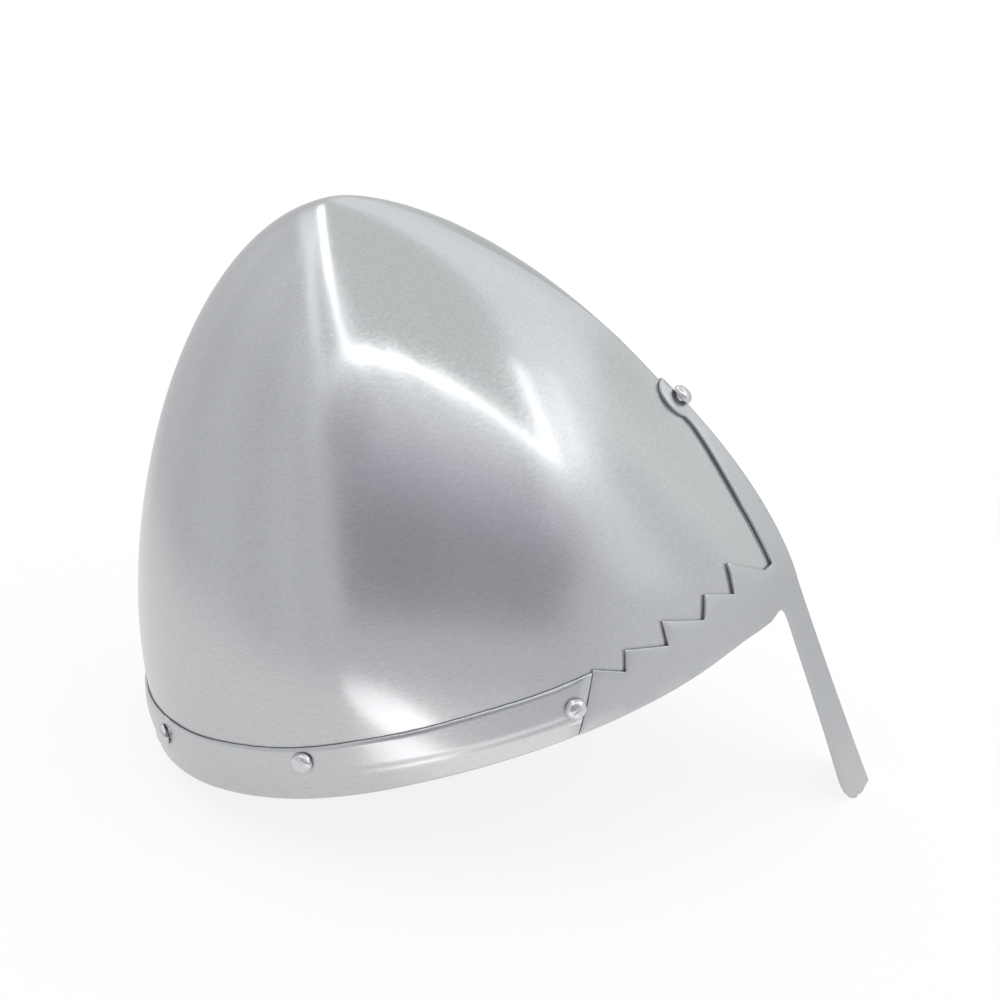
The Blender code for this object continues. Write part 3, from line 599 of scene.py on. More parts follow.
def leather(name, dark, light, rough, pore, wear):
    """Mottled leather: `pore` scales the grain's relief, `wear` the pale marks."""
    material, graph = new_material(name)
    position = graph.coordinate()
    crack = graph.add("ShaderNodeTexVoronoi", {"Vector": position, "Scale": 900.0}, "Distance",
                      feature="DISTANCE_TO_EDGE")
    cell = graph.rise(crack, start=0.0, end=0.18)
    fibre = graph.noise(position, scale=420.0, detail=4.0, rough=0.65)
    slow = graph.noise(position, scale=28.0, detail=4.0, rough=0.6, distortion=0.4)
    marks = graph.noise(position, scale=120.0, distortion=1.5)
    colour = graph.mix_colour(graph.rise(slow, start=0.30, end=0.72), dark, light)
    colour = graph.mix_colour(graph.rise(marks, start=0.60, end=0.78) * wear, colour,
                              scaled(light, 1.7))
    colour = graph.mix_colour((1.0 - cell) * 0.35, colour, scaled(dark, 0.45))
    normal = graph.bump(cell, strength=0.35 * pore, distance=0.00012)
    normal = graph.bump(fibre, strength=0.25 * pore, distance=0.0001, normal=normal)
    normal = graph.bump(slow, strength=0.25, distance=0.0006, normal=normal)
    graph.finish_surface(colour, rough + (fibre - 0.5) * 0.25, normal,
                         {"Specular IOR Level": 0.35})
    return material


def thread(name, tint):
    material, graph = new_material(name)
    position = graph.coordinate()
    fibre = graph.noise(position, scale=2200.0, detail=3.0, rough=0.7)
    slow = graph.noise(position, scale=90.0)
    colour = graph.mix_colour(fibre, scaled(tint, 0.62), scaled(tint, 1.25))
    colour = graph.mix_colour(graph.rise(slow, start=0.5, end=0.75, high=0.3), colour,
                              scaled(tint, 0.6))
    normal = graph.bump(fibre, strength=0.5, distance=0.0001)
    graph.finish_surface(colour, 0.82, normal, {"Sheen Weight": 0.3})
    return material


def brass(name):
    material, graph = new_material(name)
    position = graph.coordinate()
    slow = graph.noise(position, scale=160.0, detail=4.0, rough=0.6)
    fine = graph.noise(position, scale=2400.0, rough=0.6)
    colour = graph.mix_colour(graph.rise(slow, start=0.42, end=0.68),
                              (0.74, 0.55, 0.26), (0.46, 0.32, 0.14))
    normal = graph.bump(fine, strength=0.15, distance=0.00005)
    graph.finish_surface(colour, 0.22 + slow * 0.25, normal, {"Metallic": 1.0})
    return material


SHEET_TINT = (0.60, 0.605, 0.615)
SKULL_MAT = steel("skull_steel", SHEET_TINT, rough=0.175, grain=1.0, blotch=0.06)
# edge sets the strength of the painted highlight on sharp edges
PLATE_MAT = steel("plate_steel", SHEET_TINT, rough=0.33, grain=0.7, blotch=0.03, edge=0.8)
BAND_MAT = steel("band_steel", (0.61, 0.615, 0.625), rough=0.22, grain=0.9, blotch=0.11,
                 edge=0.6)
RIVET_MAT = steel("rivet_steel", (0.72, 0.72, 0.73), rough=0.13, grain=0.3, blotch=0.12,
                  scratch=0.5)
ROVE_MAT = steel("rove_steel", (0.50, 0.50, 0.51), rough=0.36, grain=0.5, blotch=0.15)
LINER_MAT = leather("liner_leather", dark=(0.20, 0.105, 0.050), light=(0.36, 0.21, 0.11),
                    rough=0.66, pore=0.8, wear=0.18)
PETAL_MAT = leather("petal_leather", dark=(0.26, 0.145, 0.072), light=(0.42, 0.26, 0.145),
                    rough=0.72, pore=0.9, wear=0.15)
STRAP_MAT = leather("strap_leather", dark=(0.10, 0.050, 0.025), light=(0.20, 0.105, 0.052),
                    rough=0.50, pore=1.0, wear=0.22)
CORD_MAT = thread("waxed_cord", (0.46, 0.36, 0.23))
STITCH_MAT = thread("stitch_thread", (0.62, 0.55, 0.42))
BRASS_MAT = brass("buckle_brass")

# ---------------------------------------------------------------- skull
# girths of the close columns beside the keel
KEEL_COLUMNS = [0.0, 0.7, 1.6, 2.8, 4.2, 6.0, 8.0, 10.4, 13.2, 16.4]
KEEL_ZONE = 16.0         # girth within which inner columns are spread
CROWN_Z = 146.0          # above this the levels crowd towards the apex


def skull_columns(step):
    """Girths once round the rim."""
    start = KEEL_COLUMNS[-1]
    rest = HALF_GIRTH - start
    count = int(rest / step)
    half = KEEL_COLUMNS + [start + rest * (k + 1) / count for k in range(count)]
    return np.array(half + [2 * HALF_GIRTH - girth for girth in reversed(half[1:-1])], float)


def skull_ring(columns, z, offset, dent=0.0):
    """One level; columns near the keel are spread so that an inner layer doesn't cross the fold."""
    reach = np.where(columns > HALF_GIRTH, 2 * HALF_GIRTH - columns, columns)
    probe = np.linspace(0.02, KEEL_ZONE, 200)
    lateral = -shell(probe, np.full(200, float(z)), offset)[:, 0]
    crossed = np.nonzero(lateral <= 0.05)[0]
    start = probe[crossed[-1]] if len(crossed) else 0.0
    spread = np.where((reach > 0) & (reach < KEEL_ZONE),
                      start + reach * (1 - start / KEEL_ZONE), reach)
    girth = np.where(columns > HALF_GIRTH, 2 * HALF_GIRTH - spread, spread)
    return shell(girth, np.full(len(girth), float(z)), offset + dent)


def build_skull():
    columns = skull_columns(3.6 / DENSITY)
    size = len(columns)
    levels = [0.4, 2.0, 4.0] + list(np.arange(6.5, CROWN_Z, 2.6 / DENSITY))
    count = int(26 * DENSITY)
    levels += [HEIGHT - (HEIGHT - CROWN_Z) * (1 - i / count) ** 1.8 for i in range(count)]

    def dented(z, offset):
        """A level with hand-raised unevenness, fading out at the rim and the apex."""
        fade = float(ease(z, 4, 24) * (1 - ease(z, 150, 166)))
        dent = (0.045 * wobble(3, (columns, 70.0), (z, 60.0))
                + 0.018 * wobble(5, (columns, 24.0), (z, 30.0)))
        return skull_ring(columns, z, offset, dent * fade)

    # down the outer face, round the rim, and up the inner face
    rings = [dented(z, 0.0) for z in reversed(levels)]
    for offset, z in ((-0.12, 0.12), (-0.4, 0.0), (-1.2, 0.0), (-1.48, 0.12)):
        rings.append(skull_ring(columns, z, offset))
    rings += [dented(z, -SHEET) for z in levels]
    verts = [tuple(point) for ring in rings for point in ring]
    apex = len(verts)
    verts += [(0.0, APEX_Y, HEIGHT), (0.0, APEX_Y, HEIGHT - SHEET)]
    faces = ring_faces(len(rings), size)
    last = (len(rings) - 1) * size
    for k in range(size):
        m = (k + 1) % size
        faces.append((apex, k, m))
        faces.append((apex + 1, last + m, last + k))
    add_piece("skull_shell", verts, faces, SKULL_MAT, "helmet", "skull", "skull")


# ---------------------------------------------------------------- rear band
SLANT = math.cos(math.atan2(BUTT_LOW - BUTT_HIGH, BAND_TOP))


def butt(z):
    """Girth of the slanting joint between band and front plate."""
    return BUTT_LOW + (BUTT_HIGH - BUTT_LOW) * z / BAND_TOP


def from_keel(girth):
    return np.where(girth <= HALF_GIRTH, girth, 2 * HALF_GIRTH - girth)


def from_butt(girth, z):
    return (from_keel(girth) - butt(z)) * SLANT


def crease(girth, z):
    """Height of the shallow fold pressed along the band."""
    fold_z = 7.4 + 4.6 * ease(from_keel(girth), 120, 300)
    slope = np.where(z < fold_z, z / fold_z, (BAND_TOP - z) / (BAND_TOP - fold_z))
    soft = np.clip(slope, 0, 1)
    soft = np.where(soft > 0.9, 0.9 + 0.1 * np.sin((soft - 0.9) / 0.1 * math.pi / 2) * 0.75, soft)
    groove = 0.22 * np.exp(-((z - fold_z) / 0.95) ** 2)
    return (0.85 * soft - groove) * ease(from_butt(girth, z), 0.0, 5.0)


def build_band():
    full = 2 * HALF_GIRTH
    count = int(300 * DENSITY)
    profile_z, share = strip_profile(0.0, BAND_TOP, margin=0.3, count=34,
                                     edge=[(0.08, 0.92), (0.0, 0.72), (0.0, 0.28), (0.08, 0.08)])
    # the three stations nearest each end round off the band's ends
    station = np.arange(count)[:, None]
    from_end = np.minimum(np.minimum(station, count - 1 - station), 2)
    shrink = np.array([0.28, 0.08, 0.0])[from_end]
    push = np.array([0.0, 0.10, 0.32])[from_end]
    z = np.clip(profile_z[None, :], shrink, BAND_TOP - shrink)
    start = butt(z)
    girth = start + (full - 2 * start) * np.linspace(0, 1, count)[:, None]
    girth = np.where(station < 3, start + push, girth)
    girth = np.where(station > count - 4, full - start - push, girth)
    uneven_z = (z + 0.16 * wobble(11, (girth, 46.0)) * ease(z, 12, BAND_TOP)
                + 0.05 * wobble(12, (girth, 9.0)) * ease(z, 14, BAND_TOP))
    inward = from_butt(girth, z)
    fold = crease(girth, z)
    dent = 0.07 * wobble(17, (girth, 38.0), (z, 24.0)) * ease(inward, 3, 12)
    low = SNUG + fold * 0.96 + shrink
    # the upper edge is thinned to 0.66
    thinning = (BAND_OUT - 0.66) * ease(z, BAND_TOP - 1.1, BAND_TOP) * ease(inward, 2, 8)
    high = BAND_OUT + fold + dent - thinning - shrink
    points = shell(girth, np.maximum(uneven_z, 0.0), low + (high - low) * share)
    size = len(share)
    add_piece("rear_band_strip", points.reshape(-1, 3),
              ring_faces(count, size) + end_caps(count, size), BAND_MAT, "helmet",
              "rear_band", "rear_band", sharp=50)


# ---------------------------------------------------------------- front plate
# right half of the outline as (girth, z), from the nasal's tip round to the top disc
NASAL_EDGE = [
    (4.2, -84.0), (8.0, -84.6), (10.2, -83.2), (11.8, -84.0), (14.9, -81.6), (17.2, -78.0),
    (17.9, -73.6), (16.8, -62.6), (15.6, -50.6), (14.7, -36.6), (14.2, -20.6), (13.8, -9.1),
    (14.2, -5.6), (15.5, -3.8), (17.2, -2.9), (19.0, -2.4), (22.0, -2.6), (25.7, -2.9),
    (30.0, -2.3), (34.3, -1.7), (38.8, -1.0), (45.0, -0.3)]
TEETH = [
    (95.2, 14.3), (92.4, 21.2), (76.7, 15.4), (74.8, 23.8), (58.4, 15.9), (53.2, 23.1),
    (40.1, 16.2), (35.8, 26.2), (17.9, 13.6), (12.1, 13.2)]
STRIP_EDGE = [(11.6, 23.2), (10.6, 36.1), (8.4, 48.1), (6.1, 59.5), (5.0, 66.6)]
DISC_R = 8.7             # disc round the top rivet


def girth_at(z, x):
    """Girth at which the plate's middle lies x to the wearer's right of the keel."""
    girth = np.linspace(0, 40, 801)
    lateral = -shell(girth, np.full(801, z), GAP + SHEET / 2)[:, 0]
    first = int(np.max(np.nonzero(lateral <= 0)[0]))
    return float(np.interp(x, lateral[first:], girth[first:]))


def front_outline():
    right = list(NASAL_EDGE)
    girth = 54.0
    while girth < butt(0) - 4:
        right.append((girth, 0.0))
        girth += 9.0
    gap = 0.10 / SLANT
    right += [(butt(0) - gap, 0.0), (butt(BAND_TOP) - gap - 0.5, BAND_TOP + 0.9)]
    below, above = shell(0.0, RIVET_TOP_Z - 5, 0.0), shell(0.0, RIVET_TOP_Z + 5, 0.0)
    rise = 10.0 / float(np.linalg.norm(above - below))    # z gained per mm up the keel
    disc = []
    for k in range(28):
        turn = math.radians(-50 + 140 * k / 28)
        z = RIVET_TOP_Z + DISC_R * math.sin(turn) * rise
        disc.append((girth_at(z, 0.78 * DISC_R * math.cos(turn)), z))
    right += TEETH + STRIP_EDGE + disc
    left = [(-x, y) for x, y in reversed(right)]
    return [(0.0, -83.6)] + right + [(0.0, RIVET_TOP_Z + DISC_R * rise)] + left


def build_front():
    # mesh rows along the keel's fold and close on each side of it
    fold_rows = [[(0.0, float(z)) for z in np.arange(-82.0, 83.0, 2.0)]]
    for side in (1, -1):
        fold_rows.append([(side * 0.8, float(z)) for z in np.arange(-81.0, 80.5, 2.0)])

    def surface(girth, z, offset):
        wave = 0.06 * wobble(23, (girth, 42.0), (z, 37.0)) * ease(np.abs(girth), 6, 22)
        return shell(girth, z, offset + wave)

    plate("front_plate_sheet", front_outline(), [], surface, SNUG, PLATE_OUT, PLATE_MAT,
          "helmet", step=1.6 / DENSITY, grid=(3.2 / DENSITY, 3.2 / DENSITY), rounding=0.25,
          lines=fold_rows, stands_for="front_plate", slot="front_plate", sharp=60)


# ---------------------------------------------------------------- rivets
def turned(profile, centre, axis, sides, rough, seed, closed=False):
    """A slightly uneven lathe form of (radius, height) rows; closed joins last row to first."""
    spin = np.array(Z_AXIS.rotation_difference(axis).to_matrix())
    rows = np.array(profile, float)
    radius, height = rows[:, :1], rows[:, 1:]
    turn = 2 * math.pi * np.arange(sides)[None, :] / sides
    cosine, sine = np.cos(turn), np.sin(turn)
    swell = 1.0 + rough * wobble(seed, (cosine * 2, 4.1), (sine * 2, 4.3), (height, 3.2))
    lift = rough * 1.8 * wobble(seed + 7, (cosine * radius, 2.6), (sine * radius, 2.3))
    wide = np.maximum(radius * swell, 0.004)
    points = np.stack([wide * cosine, wide * sine, height + lift], -1).reshape(-1, 3)
    faces = ring_faces(len(rows), sides, closed)
    if not closed:
        faces += end_caps(len(rows), sides)
    return np.array(centre) + points @ spin.T, faces


def rivet_table():
    """Rows of name, girth, z, and the offsets of the outer and inner faces it clamps."""
    rows = [("top", 0.0, RIVET_TOP_Z, PLATE_OUT * 1.28, -SHEET * 1.28 - ROVE_R * 0.78)]
    outer = BAND_OUT + 0.55
    for tag, side in (("right", 1), ("left", -1)):
        for place, (girth, z), inner in (("front", RIVET_FRONT, LINER_IN),
                                         ("side", RIVET_SIDE, STRAP_OUT - STRAP_T - 0.1),
                                         ("rear", RIVET_REAR, LINER_IN)):
            rows.append((f"{place}_{tag}", side * girth, z, outer, inner))
    return rows


def build_rivets():
    for i, (tag, girth, z, outer, inner) in enumerate(rivet_table()):
        point, normal = skull_normal(girth, z)
        base = outer + 0.3
        profile = [(0.02, base + HEAD_H)]
        for k in range(1, 13):
            # a peened dome: flatter crown, fuller shoulder
            turn = math.pi / 2 * k / 12
            profile.append((HEAD_R * math.sin(turn) ** 0.92,
                            base + 0.45 + (HEAD_H - 0.45) * math.cos(turn) ** 0.86))
        rove_out = inner - 0.5
        rove_in = rove_out - ROVE_T
        tail = rove_in - 0.3
        profile += [
            (HEAD_R, base + 0.30), (HEAD_R * 0.985, base + 0.12), (HEAD_R * 0.95, base - 0.1),
            (SHANK_R, base - 0.12), (SHANK_R, tail), (TAIL_R * 0.96, tail), (TAIL_R, tail - 0.2),
            (TAIL_R * 0.93, tail - TAIL_H * 0.55), (TAIL_R * 0.7, tail - TAIL_H * 0.86),
            (TAIL_R * 0.35, tail - TAIL_H), (0.02, tail - TAIL_H)]
        verts, faces = turned(profile, point, normal, sides=36, rough=0.045, seed=40 + i)
        add_piece(f"rivet_{tag}_peened", verts, faces, RIVET_MAT, "helmet", f"rivet_{tag}",
                  "rivet", sharp=50, weld=False)
        profile = [
            (HOLE_R, rove_out), (ROVE_R - 0.2, rove_out), (ROVE_R, rove_out - 0.2),
            (ROVE_R, rove_in + 0.25), (ROVE_R - 0.25, rove_in), (HOLE_R + 0.1, rove_in - 0.02),
            (HOLE_R, rove_in)]
        verts, faces = turned(profile, point, normal, sides=32, rough=0.018, seed=60 + i,
                              closed=True)
        add_piece(f"rove_{tag}_washer", verts, faces, ROVE_MAT, "helmet", f"rove_{tag}",
                  "rove", sharp=50, weld=False)


# ---------------------------------------------------------------- lining
LINER_Z = (3.0, 24.0)    # lower and upper edge of the head band
PETALS = 8
PITCH = 2 * HALF_GIRTH / PETALS
BASE_Z = LINER_Z[1]      # the leaves' cap rises from here to the ring
RING_Z = 134.0
RING_SCALE = 0.29
EYE_ANGLE = 80.0         # angle up the cap of the leaves' eyes
CORD_R = 1.2
WEAVE = 3.2              # the cord's swing in and out of the eyes


def cap(girth, angle, offset=0.0):
    """The leaves' surface: girth, angle up from the base in degrees, offset from mid-leather."""
    girth, angle, offset = np.broadcast_arrays(
        *[np.asarray(part, float) for part in (girth, angle, offset)])

    def base(girth, angle):
        angle = np.maximum(angle, 0)
        z = BASE_Z + (RING_Z - BASE_Z) * np.sin(np.radians(angle))
        scale = RING_SCALE + (1 - RING_SCALE) * np.cos(np.radians(angle)) ** 1.1
        point = shell(girth, z, PETAL_MIDDLE)
        centre_y = APEX_Y * (z / HEIGHT) ** 1.5
        return np.stack([point[..., 0] * scale, centre_y + (point[..., 1] - centre_y) * scale,
                         point[..., 2]], -1)

    point = base(girth, angle)
    along = base(girth + 0.5, angle) - base(girth - 0.5, angle)
    upward = base(girth, angle + 0.5) - base(girth, np.maximum(angle - 0.5, 0.0))
    normal = np.cross(upward, along)
    normal /= np.maximum(np.linalg.norm(normal, axis=-1, keepdims=True), 1e-9)
    return point + normal * offset[..., None]


def petal_half(angle):
    """Half width of a leaf, as girth."""
    return HALF_GIRTH / PETALS * (0.93 - 0.36 * ease(angle, 35, 88))


def build_head_band():
    """One strip with rounded edges and a slightly uneven upper edge, parted at the rear."""
    gap = 0.6
    girth = np.linspace(-HALF_GIRTH + gap, HALF_GIRTH - gap, int(220 * DENSITY))
    girth = girth[np.abs(girth) > 1.0]
    girth = np.sort(np.concatenate([girth, [0.0]]))[:, None]
    z, share = strip_profile(*LINER_Z, margin=0.6, count=14,
                             edge=[(0.12, 0.82), (0.0, 0.5), (0.12, 0.18)])
    uneven_z = z + 0.25 * wobble(31, (girth, 40.0)) * ease(z, 10, 24)
    pad = 0.12 * wobble(33, (girth, 26.0), (z[None, :], 19.0)) * (share < 0.5)
    points = shell(girth, uneven_z, LINER_IN + (LINER_OUT - LINER_IN) * share + pad)
    count, size = len(girth), len(share)
    add_piece("liner_head_band", points.reshape(-1, 3),
              ring_faces(count, size) + end_caps(count, size), LINER_MAT, "helmet",
              "liner_band", "liner_leather", sharp=60)


def build_leaf(index):
    centre = -HALF_GIRTH + PITCH * (index + 0.5)
    foot = float(petal_half(0))
    right = [(foot, -7.0), (foot, -3.0)]
    for angle in list(np.linspace(0, 76, 20)) + [79.0, 82.0, 84.5, 86.5, 88.0]:
        half = float(petal_half(angle))
        if angle > 79:
            half *= math.sqrt(max(0.0, 1 - ((angle - 79) / 9.4) ** 2)) * 0.9 + 0.1
        right.append((half, angle))
    outline = [(centre + half, angle) for half, angle in right]
    outline += [(centre - half, angle) for half, angle in reversed(right)]
    # scale the eye so that it comes out round on the cap
    before, after = cap(centre - 1.0, EYE_ANGLE), cap(centre + 1.0, EYE_ANGLE)
    girth_per_mm = 2.0 / float(np.linalg.norm(after - before))
    before, after = cap(centre, EYE_ANGLE - 1), cap(centre, EYE_ANGLE + 1)
    angle_per_mm = 2.0 / float(np.linalg.norm(after - before))
    eye = circle((centre, EYE_ANGLE), 3.2, 22, scale=(girth_per_mm, angle_per_mm))

    def surface(girth, angle, offset):
        across = np.clip((girth - centre) / petal_half(np.maximum(angle, 0)), -1, 1)
        middle = ease(angle, 2, 22) * (1 - ease(angle, 70, 79))
        # leather bellies inwards between its edges, with soft gathers towards the cord
        belly = 0.55 * (1 - across * across) * middle
        gather = (0.30 * np.cos(across * math.pi * 3.0) * ease(angle, 40, 74)
                  * (1 - ease(angle, 74, 79)))
        soft = 0.22 * wobble(80 + index, (girth, 30.0), (angle, 26.0)) * middle
        # below the cap, negative angles are millimetres down behind the head band
        below = shell(girth, BASE_Z + np.minimum(angle, 0), offset + PETAL_MIDDLE)
        above = cap(girth, np.maximum(angle, 0.0), offset - belly - gather - soft)
        return np.where((angle < 0)[..., None], below, above)

    plate(f"liner_leaf_{index + 1}", outline, [eye], surface, -PETAL_T / 2, PETAL_T / 2,
          PETAL_MAT, "helmet", step=2.4 / DENSITY, grid=(4.0 / DENSITY, 3.0 / DENSITY),
          rounding=0.45, stands_for=f"liner_petal_{index + 1}", slot="liner_leather", sharp=70)


def build_drawcord():
    """Three strands laid round the ring, in and out of the leaves' eyes."""
    count = int(112 * 7 * DENSITY)
    centre, outward = [], []
    for i in range(count):
        girth = -HALF_GIRTH + 2 * HALF_GIRTH * i / count
        phase = 2 * math.pi * (girth - (-HALF_GIRTH + PITCH * 0.5)) / PITCH
        centre.append(Vector(cap(girth, EYE_ANGLE, -WEAVE * math.sin(phase))))
        outward.append(Vector(cap(girth, EYE_ANGLE, 1.0)) - Vector(cap(girth, EYE_ANGLE, 0.0)))
    length = sum((centre[(i + 1) % count] - centre[i]).length for i in range(count))
    twists = round(length / 4.2)
    strands = []
    for k in range(3):
        path = []
        for i in range(count):
            along = (centre[(i + 1) % count] - centre[i - 1]).normalized()
            first = (outward[i] - along * outward[i].dot(along)).normalized()
            second = along.cross(first)
            turn = 2 * math.pi * (twists * i / count + k / 3)
            path.append(centre[i] + (first * math.cos(turn) + second * math.sin(turn))
                        * (CORD_R * 0.50))
        strands.append(tube(path, CORD_R * 0.54, 8))
    verts, faces = join(strands)
    add_piece("lining_drawcord", verts, faces, CORD_MAT, "helmet", "lining_cord", "cord",
              weld=False)


def build_lining_stitches():
    """The stitches that hold the leaves to the head band."""
    pitch, length, row_z = 5.2, 3.3, 20.6
    parts = []
    girth = -HALF_GIRTH + 4.0

    def point_at(share):
        lift = 0.34 * math.sin(math.pi * share) - 0.14
        return Vector(shell(girth + length * share, row_z + 0.3 * (share - 0.5),
                            LINER_IN - lift))

    while girth < HALF_GIRTH - 4.0:
        if abs(girth) > 5.0:
            parts.append(stitch(point_at))
        girth += pitch
    verts, faces = join(parts)
    add_piece("lining_stitches", verts, faces, STITCH_MAT, "helmet", slot="cord", weld=False)


# ---------------------------------------------------------------- long chin strap, wearer's right
# (setback from the tip, share of the half width) along one edge of the pointed end
TIP_EDGE = [(9, 1), (6, 0.86), (3, 0.55), (0.9, 0.22)]
CREASE_Z = 6.4           # tooled crease, from the strap's middle line


def long_surface(distance, z, offset):
    girth = RIVET_SIDE[0] + distance
    level = np.full(len(distance), STRAP_Z)
    lie = STRAP_OUT - 2.7 * ease(distance, 10, 36)
    outer = shell(girth, level, lie)
    inward = shell(girth, level, lie - 1.0) - outer
    inward[:, 2] = 0.0
    inward /= np.linalg.norm(inward, axis=1, keepdims=True)
    points = outer + inward * offset[:, None]
    points[:, 2] = STRAP_Z + z
    return points


def build_long_strap():
    half, length = STRAP_HALF, LONG_STRAP
    straight, count = length - 9, 40
    outline = [(straight * k / count, -half) for k in range(count)]
    outline += [(length - back, -half * share) for back, share in TIP_EDGE] + [(length, 0.0)]
    outline += [(length - back, half * share) for back, share in reversed(TIP_EDGE)]
    outline += [(straight * (1 - k / count), half) for k in range(1, count + 1)]
    outline += [(half * math.cos(math.radians(turn)), half * math.sin(math.radians(turn)))
                for turn in range(-256, -99, 12)]
    point, normal = skull_normal(*RIVET_SIDE)
    rivet_z = (point + normal * (STRAP_OUT - STRAP_T / 2)).z - STRAP_Z
    holes = [circle((0.0, rivet_z), HOLE_R + 0.35, 24)]
    holes += [circle((length - 28.0 - 16.0 * k, 0.0), 1.9, 20) for k in range(5)]
    lines = [[(4.0 + (length - 18) * k / 90, side * row) for k in range(91)]
             for row in (6.1, CREASE_Z, 6.7) for side in (1, -1)]

    def inner_face(distance, z):
        groove = (np.exp(-((np.abs(z) - CREASE_Z) / 0.22) ** 2) * ease(distance, 3, 6)
                  * (1 - ease(distance, length - 15, length - 12)))
        return STRAP_T - 0.28 * groove + 0.05 * wobble(51, (distance, 22.0), (z, 17.0))

    plate("strap_right_leather", outline, holes, long_surface, 0.0, inner_face, STRAP_MAT,
          "right_strap", step=2.2 / DENSITY, grid=(2.6 / DENSITY, 2.0 / DENSITY), rounding=0.5,
          lines=lines, stands_for="chin_strap_right", slot="strap_leather", sharp=70)


# ---------------------------------------------------------------- short chin strap, wearer's left
def short_point(distance, depth=0.0):
    """Point on the short strap's middle line, `depth` inside its outer face."""
    lie = STRAP_OUT - 11.0 * ease(max(distance, 0), 7, 42)
    return Vector(shell(-(RIVET_SIDE[0] + distance), STRAP_Z, float(lie) - depth))


def short_inward(distance):
    """Outer point and the level direction through the leather."""
    outer = short_point(distance)
    inward = short_point(distance, 1.0) - outer
    inward.z = 0
    inward.normalize()
    return outer, inward


def strap_axes(point, along):
    """Centre of the leather at `point`, with level unit vectors along and through it."""
    along.z = 0
    along.normalize()
    inward = Vector((along.y, -along.x, 0.0))
    if inward.dot(-point) < 0:
        inward = -inward
    centre = point + inward * (STRAP_T / 2)
    centre.z = STRAP_Z
    return centre, along, inward


def bar_axes():
    """Centre of the buckle's bar at the strap's end, and the axes there."""
    end = short_point(SHORT_STRAP)
    return strap_axes(end, end - short_point(SHORT_STRAP - 3.0))


def box_cutter(centre, size, angle):
    bpy.ops.mesh.primitive_cube_add(size=1.0, location=(centre - ORIGIN) * MILLI)
    cutter = bpy.context.object
    cutter.scale = tuple(side * MILLI for side in size)
    cutter.rotation_euler = (0, 0, angle)
    bpy.context.view_layer.update()
    return cutter


def drill_cutter(centre, axis):
    bpy.ops.mesh.primitive_cylinder_add(vertices=28, radius=HOLE_R * MILLI, depth=14 * MILLI,
                                        location=(centre - ORIGIN) * MILLI)
    cutter = bpy.context.object
    cutter.rotation_mode = "QUATERNION"
    cutter.rotation_quaternion = Z_AXIS.rotation_difference(axis)
    bpy.context.view_layer.update()
    return cutter


def cut(piece, cutters):
    for cutter in cutters:
        modifier = piece.modifiers.new("cut", "BOOLEAN")
        modifier.operation = "DIFFERENCE"
        modifier.solver = "EXACT"
        modifier.object = cutter
    bpy.context.view_layer.update()
    depsgraph = bpy.context.evaluated_depsgraph_get()
    mesh = bpy.data.meshes.new_from_object(piece.evaluated_get(depsgraph))
    piece.modifiers.clear()
    piece.data = mesh
    mesh.shade_smooth()
    mesh.set_sharp_from_angle(angle=math.radians(50))
    for cutter in cutters:
        bpy.data.objects.remove(cutter, do_unlink=True)


def build_short_strap():
    """Drawn as its edge seen from above, so that it can loop round the buckle's bar."""
    bar, along, inward = bar_axes()
    count = 40
    last = SHORT_STRAP - 4.2
    outer, inner = [], []
    for k in range(count + 1):
        point, through = short_inward(-STRAP_HALF + (last + STRAP_HALF) * k / count)
        outer.append((point.x, point.y))
        inner.append((point.x + through.x * STRAP_T, point.y + through.y * STRAP_T))
    loop = []
    for k in range(33):
        turn = math.radians(150 - 300 * k / 32)
        point = bar + along * (LOOP_OUT * math.cos(turn)) - inward * (LOOP_OUT * math.sin(turn))
        loop.append((point.x, point.y))
    hole = []
    for k in range(24):
        turn = 2 * math.pi * k / 24
        point = bar + along * (LOOP_IN * math.cos(turn)) + inward * (LOOP_IN * math.sin(turn))
        hole.append((point.x, point.y))
    strap = plate("strap_left_leather", outer + loop + list(reversed(inner)), [hole],
                  straight_surface((0, 0, 0), (1, 0, 0), (0, 1, 0), (0, 0, 1)),
                  STRAP_Z - STRAP_HALF, STRAP_Z + STRAP_HALF, STRAP_MAT, None, step=1.6,
                  grid=(50, 50), rounding=0.4, stands_for="chin_strap_left",
                  slot="strap_leather", sharp=50)
    # a slot in the loop for the tongue, and the rivet's hole
    point, normal = skull_normal(-RIVET_SIDE[0], RIVET_SIDE[1])
    slot = box_cutter(bar + along * 1.2, (9.2, 10.0, 5.0), math.atan2(along.y, along.x))
    cut(strap, [slot, drill_cutter(point - normal * 8, normal)])
    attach(strap, "left_strap")


def build_strap_stitches():
    """The stitches that close the fold, standing on the strap's inner face."""
    parts = []
    for row in (-4.6, 4.6):
        for k in range(2):
            start = SHORT_STRAP - 5.2 - 3.4 * k

            def point_at(share):
                outer, inward = short_inward(start - 2.2 * share)
                lift = 0.30 * math.sin(math.pi * share)
                point = outer + inward * (STRAP_T + lift - 0.14)
                point.z = STRAP_Z + row
                return point

            parts.append(stitch(point_at))
    verts, faces = join(parts)
    add_piece("strap_left_stitches", verts, faces, STITCH_MAT, "left_strap", slot="cord",
              weld=False)


# ---------------------------------------------------------------- buckle
FRAME_HALF = 10.2        # half height, length and corner radius of the frame
FRAME_LENGTH = 15.0
FRAME_CORNER = 2.6


